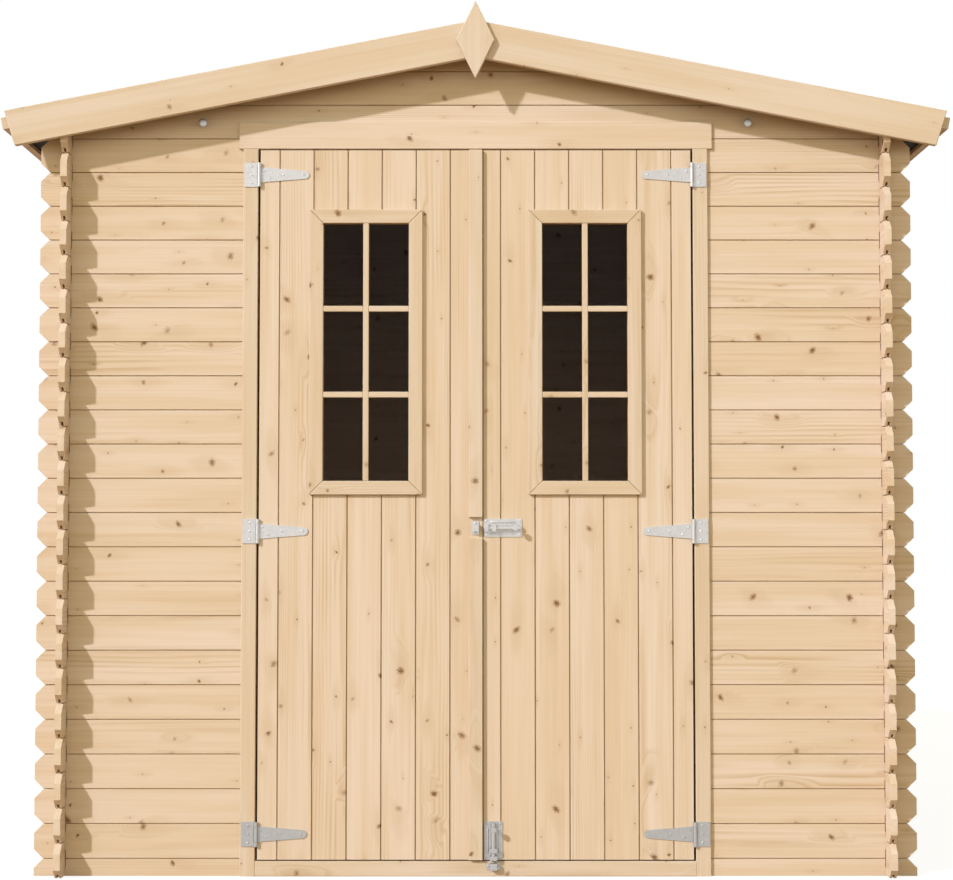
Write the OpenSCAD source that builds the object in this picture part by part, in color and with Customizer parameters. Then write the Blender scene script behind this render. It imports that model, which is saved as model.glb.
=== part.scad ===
// Garden shed of interlocking boards, with a double door and a low gable roof.
// Lengths are in millimetres. The front faces -Y, +Z is up, and the origin lies on the
// ground at the middle of the shed.

/* [Wall boards] */
// Visible height of one wall board
board_cover = 82; // [70:1:110]
// Thickness of a wall board
board_t = 16; // [14:1:22]
// Length of a board in the front and back walls
front_board_len = 2096; // [1960:1:2600]
// Length of a board in the side walls
side_board_len = 2086; // [1500:1:3000]
// Length of a board end past the outer face of the wall that it crosses
board_end_len = 58; // [40:1:70]
// Chamfer on the corners of a board end
board_end_chamfer = 22; // [8:1:30]
// Number of board courses in a side wall
side_courses = 22; // [21:1:26]
// Height of the tongue on the top board of a side wall
tongue_h = 9; // [4:1:14]
// Sideways play between a board and the notch or groove that takes it
notch_play = 0.5; // [0.2:0.1:1]

/* [Roof] */
// Slope of the roof in degrees
roof_slope = 11; // [6:0.5:20]
// Thickness of the roof boards
roof_board_t = 16; // [14:1:22]
// Thickness of the roofing felt
felt_t = 2; // [1:0.5:4]
// Overhang of the roof boards past the side walls
eave_overhang = 124; // [80:1:160]
// Thickness of the strip on the end of the roof boards
eave_strip_t = 16; // [10:1:22]
// Height of the strip on the end of the roof boards
eave_strip_h = 28; // [22:1:40]
// Width of a bargeboard
barge_w = 87; // [70:1:120]
// Thickness of a bargeboard
barge_t = 16; // [12:1:22]
// Rise of a bargeboard above the roof boards
barge_rise = 12; // [4:0.5:24]
// Length of a bargeboard past the end of the roof boards
barge_past_eave = 8; // [4:1:30]
// Angle of a bargeboard's end cut from the upright, in degrees
barge_end_cut = 16.5; // [0:0.5:30]
// Width of the diamond finial
finial_w = 91; // [60:1:120]
// Height of the diamond finial
finial_h = 186; // [120:1:240]
// Thickness of the diamond finial
finial_t = 13; // [8:1:20]
// Rise of the finial above the peak of the bargeboards
finial_rise = 43; // [20:1:60]
// Width of a purlin
purlin_w = 36; // [28:1:60]
// Height of a purlin
purlin_h = 100; // [70:1:130]
// Distance of a side purlin from the middle of the shed
side_purlin_x = 656; // [600:1:760]

/* [Doorway] */
// Clear width between the door posts
doorway_w = 1046; // [960:1:1180]
// Width of a door post
post_w = 36; // [34:1:60]
// Depth of the groove in a post that takes the wall boards
post_groove = 12; // [6:1:18]
// Distance by which the posts, header and sill stand proud of the wall
frame_proud = 8; // [6:1:16]
// Height of the header over the doors
header_h = 66; // [50:1:100]
// Distance by which the header reaches below the board joint over the doorway
header_drop = 26; // [16:1:40]
// Length of the header past each post
header_past_post = 10; // [0:1:20]
// Height of the sill
sill_h = 36; // [26:1:60]

/* [Doors] */
// Thickness of a door leaf
leaf_t = 16; // [14:1:22]
// Gap between a door leaf and its post
door_gap = 5.5; // [5:0.5:9]
// Gap above and below a door leaf
door_end_gap = 3.5; // [3:0.5:9]
// Gap between the meeting edges of the leaves
meeting_gap = 2; // [2:0.5:10]
// Distance of the meeting gap from the middle of the doorway
meeting_offset = 18; // [10:0.25:24]
// Width of the strip along the meeting edge
strip_w = 33; // [20:1:50]
// Thickness of the strip along the meeting edge
strip_t = 11; // [8:1:18]
// Height of the break in the strip at the latch
strip_break = 50; // [46:1:70]
// Width of a ledge across the inside of a leaf
ledge_w = 70; // [60:1:95]
// Thickness of a ledge
ledge_t = 18; // [12:1:24]
// Distance of a ledge from the edges of its leaf
ledge_inset = 40; // [34:1:70]

/* [Door windows] */
// Width of the glazed opening
window_w = 205; // [150:1:240]
// Height of the glazed opening
window_h = 619; // [400:1:640]
// Distance from a leaf's hinge edge to the middle of its window
window_from_hinge = 255; // [210:1:290]
// Distance from the top of a leaf to the glazed opening
window_drop = 178; // [165:1:260]
// Width of the trim round a window
window_trim_w = 33; // [20:1:44]
// Thickness of the trim round a window
window_trim_t = 10; // [8:1:16]
// Width of the rebate that holds the pane
pane_rebate = 10; // [5:1:15]
// Thickness of a pane
pane_t = 4; // [2:0.5:6]

/* [Hinges] */
// Width of a hinge plate
hinge_plate_w = 30; // [24:1:31]
// Height of a hinge plate
hinge_plate_h = 58; // [54:1:74]
// Length of a hinge strap from its pin
strap_len = 120; // [90:1:160]
// Height of a hinge strap at its pin
strap_base_h = 38; // [30:1:44]
// Height of a hinge strap at its round tip
strap_tip_h = 19; // [12:1:26]
// Thickness of the hinge plates and straps
hinge_t = 2.5; // [2:0.5:3]
// Diameter of a hinge knuckle
knuckle_d = 9; // [8:0.5:9.5]
// Diameter of a hinge pin
hinge_pin_d = 4.5; // [3.5:0.5:5]
// Distance from a leaf's end to its outer hinges
hinge_end_drop = 60; // [52:1:80]
// Distance from a window's trim down to the middle hinge
middle_hinge_drop = 87; // [60:1:200]

/* [Bolts] */
// Length of a bolt's plate
bolt_plate_len = 90; // [84:1:120]
// Width of a bolt's plate
bolt_plate_w = 43; // [34:1:44]
// Thickness of a bolt's plate
bolt_plate_t = 2; // [1.5:0.5:3]
// Diameter of a bolt's rod
rod_d = 10; // [8:0.5:11]
// Length of a bolt's rod
rod_len = 86; // [84:1:88]
// Distance of a bolt's plate from the meeting edge of its leaf
bolt_inset = 2; // [2:1:8]
// Distance from a window's trim down to the latch
latch_drop = 79; // [40:1:200]
// Width of a keeper's plate
keeper_w = 33; // [28:1:44]
// Distance from the meeting edge to the latch keeper
keeper_inset = 9; // [6:1:12]

/* [Floor] */
// Thickness of the floor boards
floor_t = 16; // [12:1:22]
// Width of a floor bearer
bearer_w = 45; // [30:1:80]
// Height of a floor bearer
bearer_h = 20; // [15:1:40]
// Number of floor bearers
bearers = 5; // [3:1:8]

/* [Hidden] */

// How far a cut runs past the face that it opens
overrun = 5;
// Facets asked of a round shape
$fn = 48;

// Share of a board's height that its notch takes from the top and from the bottom
notch_share = 1 / 4;
// Share of a board that is left in the lowest course of the front and back walls
half_board_share = 1 / 2;

// Outer faces of the walls
side_face_x = front_board_len / 2 - board_end_len;
wall_face_y = side_board_len / 2 - board_end_len;
// Ends of the wall boards
front_end_x = front_board_len / 2;
side_end_y = side_board_len / 2;
// Joint between the wall and the gable over the doorway
first_joint_z = half_board_share * board_cover;
front_courses = side_courses - 1;
gable_z = first_joint_z + front_courses * board_cover;
// Underside of the roof boards
side_wall_top = side_courses * board_cover + tongue_h;
ridge_z = side_wall_top + side_face_x * tan(roof_slope);
eave_x = side_face_x + eave_overhang;
// Play between the sloping faces of the roof's layers
slope_play = 0.1;
// Heights of the roof's layers above that underside, square to the slope
roof_low = slope_play;
roof_high = roof_low + roof_board_t;
felt_low = roof_high + slope_play;
felt_high = felt_low + felt_t;
barge_peak_z = ridge_z + on_slope(roof_high + barge_rise);
// Directions down the right-hand slope and square to it
down_slope = [cos(roof_slope), -sin(roof_slope)];
off_slope = [sin(roof_slope), cos(roof_slope)];

// Door frame
frame_face_y = -wall_face_y - frame_proud;
frame_d = board_t + 2 * frame_proud;
post_in_x = doorway_w / 2;
wall_in_x = post_in_x + post_w - post_groove;
header_z = gable_z - header_drop;
header_end_x = post_in_x + post_w + header_past_post;

// Door leaves
leaf_hinge_x = post_in_x - door_gap;
left_meet_x = meeting_offset - meeting_gap / 2;
right_meet_x = meeting_offset + meeting_gap / 2;
leaf_bottom_z = sill_h + door_end_gap;
leaf_top_z = header_z - door_end_gap;
leaf_back_y = frame_face_y + leaf_t;
window_x = leaf_hinge_x - window_from_hinge;
window_z = leaf_top_z - window_drop - window_h / 2;
trim_bottom_z = window_z - window_h / 2 - window_trim_w;
// Play round a pane and its beads
pane_play = 1;

// Hinges
hinge_x = post_in_x - door_gap / 2;
// Distance from the leaf's face to the back of a knuckle
knuckle_lift = 1;
hinge_y = frame_face_y - knuckle_lift - knuckle_d / 2;
hinge_zs = [
  leaf_bottom_z + hinge_end_drop,
  trim_bottom_z - middle_hinge_drop,
  leaf_top_z - hinge_end_drop
];
// Play between a knuckle and its pin, and between neighbouring knuckles
knuckle_play = 0.3;
// Clear strip between a hinge plate and the turning knuckle
plate_clear = 1;
// Step from a strap's knuckle to its neck
strap_shoulder = 1;

// Bolts: the rod lies over its plate and runs through two guides
rod_play = 0.5;
guide_len = 10;
// Places of the two guides along the plate
guide_shares = [0, 0.2];
staple_wall = 3;
rod_out = bolt_plate_t + rod_d / 2 + rod_play;
staple_out = rod_out + rod_d / 2 + rod_play + staple_wall;
staple_w = rod_d + 2 * (rod_play + staple_wall);
// The handle stands on the rod behind the guides
handle_d = 6;
handle_len = 24;
knob_d = 13;
knob_t = 6;
// Set-back of the drawn rod's tip from the end of its plate
tip_setback = 1;
// Place of the handle along the rod, from its tip
handle_at = rod_len - knob_d;
keeper_len = 16;
latch_z = trim_bottom_z - latch_drop;
latch_x = right_meet_x + bolt_inset;
foot_bolt_x = right_meet_x + bolt_inset + bolt_plate_w / 2;
// Share of the sill's height that lies below the middle of the sill keeper
sill_keeper_share = 0.68;
sill_keeper_z = sill_keeper_share * sill_h;

// Floor
floor_play = 2;
floor_x = side_face_x - board_t - floor_play;
floor_back_y = wall_face_y - board_t - floor_play;
floor_front_y = frame_face_y + frame_d + floor_play;

// Height of the underside of the roof at a distance from the middle
function under_roof(x) = ridge_z - abs(x) * tan(roof_slope);

// Upright height of a layer that lies on the slope
function on_slope(t) = t / cos(roof_slope);

// Points of the right-hand slope at a height above its underside
function ridge_point(height) = [0, ridge_z + on_slope(height)];
function eave_point(height) = [eave_x, under_roof(eave_x)] + height * off_slope;

// List in reverse order
function reversed(list) = [for (i = [len(list) - 1:-1:0]) list[i]];

// Chamfered ends of a stack of boards, from the bottom up, at the place u along the wall
function board_ends(u, out, from_z, count) = [
  for (k = [0:count - 1])
    for (p = [
      [u - out * board_end_chamfer, from_z + k * board_cover],
      [u, from_z + k * board_cover + board_end_chamfer],
      [u, from_z + (k + 1) * board_cover - board_end_chamfer]
    ]) p
];

// Ends of the boards of the front or back wall, with the half board at the bottom
function front_ends(u, out, count) = concat(
  [[u, 0], [u, first_joint_z - board_end_chamfer]],
  board_ends(u, out, first_joint_z, count)
);

// Upright panel: its outline is drawn in X and Z, from the front face back by t
module panel_y(front_y, t) {
  translate([0, front_y + t, 0]) rotate([90, 0, 0]) linear_extrude(t) children();
}

// Outline drawn in Y and Z, from x0 over a length in X
module panel_x(x0, t) {
  translate([x0, 0, 0]) rotate([90, 0, 90]) linear_extrude(t) children();
}

// A right-hand piece, or its mirror image on the left
module on_side(side) {
  if (side < 0) mirror([1, 0, 0]) children();
  else children();
}

// A front piece, or its mirror image at the back
module at_end(back) {
  if (back) mirror([0, 1, 0]) children();
  else children();
}

module rect(x0, z0, x1, z1) {
  translate([x0, z0]) square([x1 - x0, z1 - z0]);
}

// Space above the underside of the roof, for trimming walls and purlins
module above_roof(half_len) {
  reach_x = eave_x;
  panel_y(-half_len - overrun, 2 * (half_len + overrun))
    polygon([
      [0, ridge_z], [reach_x, under_roof(reach_x)], [reach_x, ridge_z + purlin_h],
      [-reach_x, ridge_z + purlin_h], [-reach_x, under_roof(reach_x)]
    ]);
}

// Notches of the front and back boards, where the side boards cross on one side
module side_board_notches(side) {
  face = side * side_face_x;
  inner = side * (side_face_x - board_t);
  for (j = [0:side_courses - 1])
    rect(
      min(face, inner) - notch_play, (j + notch_share) * board_cover,
      max(face, inner) + notch_play, (j + 1 - notch_share) * board_cover
    );
}

// Notches of the side boards, where the front or back boards cross
module front_board_notches(end) {
  face = end * wall_face_y;
  inner = end * (wall_face_y - board_t);
  for (j = [0:side_courses])
    rect(
      min(face, inner) - notch_play, (j - notch_share) * board_cover,
      max(face, inner) + notch_play, (j + notch_share) * board_cover
    );
}

// Front wall beside the doorway, drawn on the right
module front_wall_side() {
  color("burlywood") panel_y(-wall_face_y, board_t) difference() {
    polygon(concat(
      [[wall_in_x, 0]],
      front_ends(front_end_x, 1, front_courses),
      [[front_end_x - board_end_chamfer, gable_z], [wall_in_x, gable_z]]
    ));
    side_board_notches(1);
    rect(wall_in_x - overrun, header_z, header_end_x + notch_play, gable_z + overrun);
  }
}

module front_wall_left() { on_side(-1) front_wall_side(); }

module front_wall_right() { on_side(1) front_wall_side(); }

// Gable over the doorway, from its lowest board joint up to the roof
module front_gable() {
  color("burlywood") panel_y(-wall_face_y, board_t) difference() {
    polygon([
      [-front_end_x + board_end_chamfer, gable_z],
      [front_end_x - board_end_chamfer, gable_z],
      [front_end_x, gable_z + board_end_chamfer],
      [front_end_x, under_roof(front_end_x)],
      [0, ridge_z],
      [-front_end_x, under_roof(front_end_x)],
      [-front_end_x, gable_z + board_end_chamfer]
    ]);
    for (side = [-1, 1]) side_board_notches(side);
  }
}

// Back wall with its gable
module back_wall() {
  ends = front_ends(front_end_x, 1, front_courses);
  outline = concat(
    ends,
    [
      [front_end_x - board_end_chamfer, gable_z],
      [front_end_x, gable_z + board_end_chamfer],
      [front_end_x, under_roof(front_end_x)]
    ]
  );
  color("burlywood") panel_y(wall_face_y - board_t, board_t) difference() {
    polygon(concat(
      outline,
      [[0, ridge_z]],
      [for (p = reversed(outline)) [-p.x, p.y]]
    ));
    for (side = [-1, 1]) side_board_notches(side);
  }
}

// Side wall, drawn on the right, with its top edge on the slope of the roof
module side_wall() {
  ends = board_ends(side_end_y, 1, 0, side_courses);
  outline = concat(
    ends,
    [
      [side_end_y - board_end_chamfer, side_courses * board_cover],
      [side_end_y - board_end_chamfer, ridge_z]
    ]
  );
  color("burlywood") difference() {
    panel_x(side_face_x - board_t, board_t) difference() {
      polygon(concat(outline, [for (p = reversed(outline)) [-p.x, p.y]]));
      for (end = [-1, 1]) front_board_notches(end);
    }
    above_roof(side_end_y);
  }
}

module left_wall() { on_side(-1) side_wall(); }

module right_wall() { on_side(1) side_wall(); }

// Door post, drawn on the right, with the groove that takes the wall boards
module door_post() {
  color("wheat") linear_extrude(header_z) difference() {
    translate([post_in_x, frame_face_y]) square([post_w, frame_d]);
    translate([wall_in_x, -wall_face_y - notch_play])
      square([post_groove + overrun, board_t + 2 * notch_play]);
  }
}

module door_post_left() { on_side(-1) door_post(); }

module door_post_right() { on_side(1) door_post(); }

// Header over the doors, with the groove in which the gable boards stand
module door_header() {
  color("wheat") panel_x(-header_end_x, 2 * header_end_x) difference() {
    translate([frame_face_y, header_z]) square([frame_d, header_h]);
    translate([-wall_face_y - notch_play, gable_z])
      square([board_t + 2 * notch_play, header_h]);
  }
}

module door_sill() {
  color("wheat") translate([-post_in_x, frame_face_y, 0]) cube([2 * post_in_x, frame_d, sill_h]);
}

module floor() {
  color("tan") translate([-floor_x, floor_front_y, bearer_h])
    cube([2 * floor_x, floor_back_y - floor_front_y, floor_t]);
}

// Bearers under the floor, spread evenly from its front edge to its back edge
module floor_bearers() {
  pitch = (floor_back_y - floor_front_y - bearer_w) / (bearers - 1);
  color("peru") for (i = [0:bearers - 1])
    translate([-floor_x, floor_front_y + i * pitch, 0]) cube([2 * floor_x, bearer_w, bearer_h]);
}

// Purlin between the gables, with its top cut to the roof
module purlin(x) {
  half_len = wall_face_y - board_t;
  color("tan") difference() {
    panel_y(-half_len, 2 * half_len)
      rect(x - purlin_w / 2, under_roof(x) - purlin_h, x + purlin_w / 2, ridge_z + purlin_h / 2);
    above_roof(half_len);
  }
}

module ridge_purlin() { purlin(0); }

module side_purlins() { for (side = [-1, 1]) purlin(side * side_purlin_x); }

// Roof boards of one slope, drawn on the right
module roof_side() {
  color("tan") panel_y(-side_end_y, 2 * side_end_y)
    polygon([
      ridge_point(roof_low), eave_point(roof_low), eave_point(roof_high), ridge_point(roof_high)
    ]);
}

module roof_left() { on_side(-1) roof_side(); }

module roof_right() { on_side(1) roof_side(); }

// Felt over both slopes, as one folded sheet
module roof_felt() {
  low = eave_point(felt_low);
  high = eave_point(felt_high);
  color("dimgray") panel_y(-side_end_y, 2 * side_end_y)
    polygon([
      ridge_point(felt_low), low, high, ridge_point(felt_high), [-high.x, high.y],
      [-low.x, low.y]
    ]);
}

// Strip on the ends of the roof boards, drawn on the right, level with the felt
module eave_strip() {
  inner = slope_play * down_slope;
  outer = inner + eave_strip_t * down_slope;
  top = eave_point(felt_high);
  bottom = eave_point(felt_high - eave_strip_h);
  color("wheat") panel_y(-side_end_y, 2 * side_end_y)
    polygon([top + inner, top + outer, bottom + outer, bottom + inner]);
}

module eave_strip_left() { on_side(-1) eave_strip(); }

module eave_strip_right() { on_side(1) eave_strip(); }

// Bargeboard on the ends of the roof boards, drawn on the right at the front
module bargeboard() {
  end_x = eave_x + barge_past_eave;
  end_z = barge_peak_z - end_x * tan(roof_slope);
  end_drop = on_slope(barge_w) / (1 + tan(barge_end_cut) * tan(roof_slope));
  color("wheat") panel_y(-side_end_y - barge_t, barge_t)
    polygon([
      [0, barge_peak_z], [end_x, end_z],
      [end_x - end_drop * tan(barge_end_cut), end_z - end_drop],
      [0, barge_peak_z - on_slope(barge_w)]
    ]);
}

module bargeboard_front_left() { on_side(-1) bargeboard(); }

module bargeboard_front_right() { on_side(1) bargeboard(); }

module bargeboard_back_left() { at_end(true) on_side(-1) bargeboard(); }

module bargeboard_back_right() { at_end(true) on_side(1) bargeboard(); }

// Diamond on the joint of the bargeboards
module finial() {
  top_z = barge_peak_z + finial_rise;
  color("wheat") panel_y(-side_end_y - barge_t - finial_t, finial_t)
    polygon([
      [0, top_z], [finial_w / 2, top_z - finial_h / 2], [0, top_z - finial_h],
      [-finial_w / 2, top_z - finial_h / 2]
    ]);
}

module finial_front() { finial(); }

module finial_back() { at_end(true) finial(); }

// Door leaf between two edges, with the hole for its window
module leaf(x0, x1, middle_x) {
  hole_w = window_w + 2 * pane_rebate;
  hole_h = window_h + 2 * pane_rebate;
  color("burlywood") panel_y(frame_face_y, leaf_t) difference() {
    rect(x0, leaf_bottom_z, x1, leaf_top_z);
    translate([middle_x, window_z]) square([hole_w, hole_h], center = true);
  }
}

module left_door_boards() { leaf(-leaf_hinge_x, left_meet_x, -window_x); }

module right_door_boards() { leaf(right_meet_x, leaf_hinge_x, window_x); }

// Rectangular ring round the glazed opening
module window_ring(outer_w, outer_h) {
  difference() {
    square([outer_w, outer_h], center = true);
    square([window_w, window_h], center = true);
  }
}

// Trim on the face of the leaf, and the beads behind the pane
module window_frame(middle_x) {
  bead_t = leaf_t - pane_t;
  bead_reach = 2 * (pane_rebate - pane_play);
  color("wheat") translate([middle_x, 0, window_z]) {
    panel_y(frame_face_y - window_trim_t, window_trim_t)
      window_ring(window_w + 2 * window_trim_w, window_h + 2 * window_trim_w);
    panel_y(leaf_back_y - bead_t, bead_t)
      window_ring(window_w + bead_reach, window_h + bead_reach);
  }
}

module left_window_frame() { window_frame(-window_x); }

module right_window_frame() { window_frame(window_x); }

module pane(middle_x) {
  reach = 2 * (pane_rebate - pane_play);
  color("saddlebrown") translate([middle_x, 0, window_z])
    panel_y(frame_face_y, pane_t) square([window_w + reach, window_h + reach], center = true);
}

module left_window_glass() { pane(-window_x); }

module right_window_glass() { pane(window_x); }

// Ledges across the inside of a leaf, one behind each hinge
module ledges(x0, x1) {
  color("tan") for (z = hinge_zs)
    panel_y(leaf_back_y, ledge_t)
      rect(x0 + ledge_inset, z - ledge_w / 2, x1 - ledge_inset, z + ledge_w / 2);
}

module left_door_ledges() { ledges(-leaf_hinge_x, left_meet_x); }

module right_door_ledges() { ledges(right_meet_x, leaf_hinge_x); }

// Strip along the meeting edge of the left leaf, broken at the latch
module meeting_strip() {
  color("wheat") panel_y(frame_face_y - strip_t, strip_t) difference() {
    rect(left_meet_x - strip_w, leaf_bottom_z, left_meet_x, leaf_top_z);
    rect(
      left_meet_x - strip_w - overrun, latch_z - strip_break / 2,
      left_meet_x + overrun, latch_z + strip_break / 2
    );
  }
}

// Upright knuckle round the hinge axis, centred on its height
module knuckle(h) {
  translate([hinge_x, hinge_y, 0]) cylinder(h = h, d = knuckle_d, center = true);
}

// Plate of one hinge with its two outer knuckles and the pin, drawn on the right
module hinge_plate() {
  outer_h = (hinge_plate_h - strap_base_h) / 2;
  plate_x0 = hinge_x + knuckle_d / 2 + plate_clear;
  panel_y(frame_face_y - hinge_t, hinge_t)
    rect(plate_x0, -hinge_plate_h / 2, plate_x0 + hinge_plate_w, hinge_plate_h / 2);
  for (end = [-1, 1]) {
    z = end * (hinge_plate_h - outer_h) / 2;
    panel_y(frame_face_y - hinge_t, hinge_t)
      rect(hinge_x, z - outer_h / 2, plate_x0 + plate_clear, z + outer_h / 2);
    translate([0, 0, z]) knuckle(outer_h);
  }
  translate([hinge_x, hinge_y, 0]) cylinder(h = hinge_plate_h, d = hinge_pin_d, center = true);
}

// Strap of one hinge with its middle knuckle, drawn on the right, pointing left
module hinge_strap() {
  knuckle_h = strap_base_h - 2 * knuckle_play;
  neck_h = knuckle_h - 2 * strap_shoulder;
  neck_x = hinge_x - knuckle_d;
  tip_x = hinge_x - strap_len + strap_tip_h / 2;
  difference() {
    union() {
      panel_y(frame_face_y - hinge_t, hinge_t) {
        polygon([
          [hinge_x, -neck_h / 2], [hinge_x, neck_h / 2], [neck_x, neck_h / 2],
          [tip_x, strap_tip_h / 2], [tip_x, -strap_tip_h / 2], [neck_x, -neck_h / 2]
        ]);
        translate([tip_x, 0]) circle(d = strap_tip_h);
      }
      knuckle(knuckle_h);
    }
    translate([hinge_x, hinge_y, 0])
      cylinder(h = hinge_plate_h, d = hinge_pin_d + 2 * knuckle_play, center = true);
  }
}

module hinge_plates() {
  color("gainsboro") for (side = [-1, 1])
    on_side(side) for (z = hinge_zs) translate([0, 0, z]) hinge_plate();
}

module hinge_straps(side) {
  color("gainsboro") on_side(side) for (z = hinge_zs) translate([0, 0, z]) hinge_strap();
}

module left_hinge_straps() { hinge_straps(-1); }

module right_hinge_straps() { hinge_straps(1); }

// Block over a plate, from x0 along X, that a staple is cut from
module staple_block(x0, length) {
  translate([x0, -staple_out, -staple_w / 2]) cube([length, staple_out, staple_w]);
}

// Guide of a rod on its plate: a staple with a round bore along X
module guide(x0) {
  difference() {
    staple_block(x0, guide_len);
    translate([x0 - overrun, -rod_out, 0]) rotate([0, 90, 0])
      cylinder(h = guide_len + 2 * overrun, d = rod_d + 2 * rod_play);
  }
}

// Plate of a bolt with its two guides, lying along X with its back at y = 0
module bolt_plate() {
  translate([0, -bolt_plate_t, -bolt_plate_w / 2]) cube([bolt_plate_len, bolt_plate_t, bolt_plate_w]);
  for (share = guide_shares) guide(share * bolt_plate_len);
}

// Handle of a bolt, from the rod's axis outwards
module handle_shank() {
  translate([tip_setback + handle_at, -rod_out, 0]) rotate([90, 0, 0])
    cylinder(h = handle_len, d = handle_d);
}

// Drawn rod of a bolt, lying along X over the plate, with the hole for its handle
module bolt_rod() {
  difference() {
    translate([tip_setback, -rod_out, 0]) rotate([0, 90, 0]) cylinder(h = rod_len, d = rod_d);
    handle_shank();
  }
}

// Handle pressed into the rod, with a flat knob on its end
module bolt_handle() {
  handle_shank();
  translate([tip_setback + handle_at, -rod_out - handle_len + knob_t, 0]) rotate([90, 0, 0])
    cylinder(h = knob_t, d = knob_d);
}

// Keeper along X: a plate with a square staple that the rod is shot into
module keeper() {
  passage = rod_d + 2 * rod_play;
  translate([0, -bolt_plate_t, -keeper_w / 2]) cube([keeper_len, bolt_plate_t, keeper_w]);
  difference() {
    staple_block(0, keeper_len);
    translate([-overrun, -rod_out - passage / 2, -passage / 2])
      cube([keeper_len + 2 * overrun, passage, passage]);
  }
}

module at_latch() { translate([latch_x, frame_face_y, latch_z]) children(); }

// The foot bolt stands upright: its rod points down
module at_foot_bolt() {
  translate([foot_bolt_x, frame_face_y, leaf_bottom_z]) rotate([0, -90, 0]) children();
}

module latch_plate() { color("gainsboro") at_latch() bolt_plate(); }

module latch_rod() { color("silver") at_latch() bolt_rod(); }

module latch_handle() { color("silver") at_latch() bolt_handle(); }

module latch_keeper() {
  color("gainsboro") translate([left_meet_x - keeper_inset - keeper_len, frame_face_y, latch_z]) keeper();
}

module foot_bolt_plate() { color("gainsboro") at_foot_bolt() bolt_plate(); }

module foot_bolt_rod() { color("silver") at_foot_bolt() bolt_rod(); }

module foot_bolt_handle() { color("silver") at_foot_bolt() bolt_handle(); }

module sill_keeper() {
  color("gainsboro") translate([foot_bolt_x, frame_face_y, sill_keeper_z - keeper_len / 2])
    rotate([0, -90, 0]) keeper();
}

front_wall_left();
front_wall_right();
front_gable();
back_wall();
left_wall();
right_wall();
door_post_left();
door_post_right();
door_header();
door_sill();
floor();
floor_bearers();
ridge_purlin();
side_purlins();
roof_left();
roof_right();
roof_felt();
bargeboard_front_left();
bargeboard_front_right();
bargeboard_back_left();
bargeboard_back_right();
finial_front();
finial_back();
eave_strip_left();
eave_strip_right();
hinge_plates();
sill_keeper();
left_door_boards();
left_window_frame();
left_window_glass();
left_door_ledges();
meeting_strip();
left_hinge_straps();
latch_keeper();
right_door_boards();
right_window_frame();
right_window_glass();
right_door_ledges();
right_hinge_straps();
latch_plate();
foot_bolt_plate();
latch_rod();
latch_handle();
foot_bolt_rod();
foot_bolt_handle();
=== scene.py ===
# %% [markdown]
# # A garden shed of interlocking boards
# The shed is a log-cabin kit: tongue-and-groove boards stacked on edge, crossing
# at the corners, with a double door, a low gable roof and bright zinc fittings.
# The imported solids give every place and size. Here each solid of timber is taken
# apart into the single boards it is nailed or stacked from.

# %% Frame
import math
import random
import bmesh
import bpy
from mathutils import Matrix, Vector
from mathutils.geometry import normal


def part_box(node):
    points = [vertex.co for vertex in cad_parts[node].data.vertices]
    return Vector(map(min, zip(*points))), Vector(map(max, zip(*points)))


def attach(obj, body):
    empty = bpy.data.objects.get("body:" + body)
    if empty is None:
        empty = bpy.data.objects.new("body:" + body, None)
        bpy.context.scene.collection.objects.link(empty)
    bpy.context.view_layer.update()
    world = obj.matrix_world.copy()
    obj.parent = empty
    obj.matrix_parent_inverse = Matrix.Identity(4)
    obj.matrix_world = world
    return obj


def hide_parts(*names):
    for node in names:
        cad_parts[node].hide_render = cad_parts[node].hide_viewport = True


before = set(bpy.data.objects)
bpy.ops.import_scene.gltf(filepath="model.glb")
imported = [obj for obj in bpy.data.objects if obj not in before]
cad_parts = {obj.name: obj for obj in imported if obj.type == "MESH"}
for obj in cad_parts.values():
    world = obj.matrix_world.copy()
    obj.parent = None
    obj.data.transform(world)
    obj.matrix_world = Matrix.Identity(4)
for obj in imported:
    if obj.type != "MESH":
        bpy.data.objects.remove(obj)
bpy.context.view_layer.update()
X, Y, Z = Vector((1, 0, 0)), Vector((0, 1, 0)), Vector((0, 0, 1))

# %% [markdown]
# ## Camera
# The photograph was taken from the front, a little below the middle of the door.
# A camera could be laid by eye until the picture fits. Here its lens, height and
# tilt were worked out from the board joints, which are evenly spaced on the real
# wall, because dozens of joints fix them better than an eye does.

# %% Camera
IMAGE_WIDTH = 953
FOCAL_PIXELS = 1942.5
SENSOR_WIDTH = 36
EYE = Vector((0.0024, -5.6357, 0.8098))
TILT_UP = math.radians(2.7715)


def put(name, data):
    """A new object in the scene."""
    made = bpy.data.objects.new(name, data)
    bpy.context.scene.collection.objects.link(made)
    return made


lens = bpy.data.cameras.new("camera")
lens.sensor_fit = "HORIZONTAL"
lens.sensor_width = SENSOR_WIDTH
lens.lens = FOCAL_PIXELS * SENSOR_WIDTH / IMAGE_WIDTH
camera = put("camera", lens)
camera.matrix_world = Matrix.Translation(EYE) @ Matrix.Rotation(math.pi / 2 + TILT_UP, 4, "X")
bpy.context.scene.camera = camera
bpy.context.scene.view_settings.view_transform = "Standard"
print("lens", round(lens.lens, 1), "mm")

# %% [markdown]
# ## Helpers for nodes
# Finishes, the world and the stacks of boards are all trees of nodes. Nodes could
# be added and linked one by one, in many lines. Here a result in a tree can be
# added and multiplied like a number, and each such sum adds a Math node, so that a
# tree reads like a formula.

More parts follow.
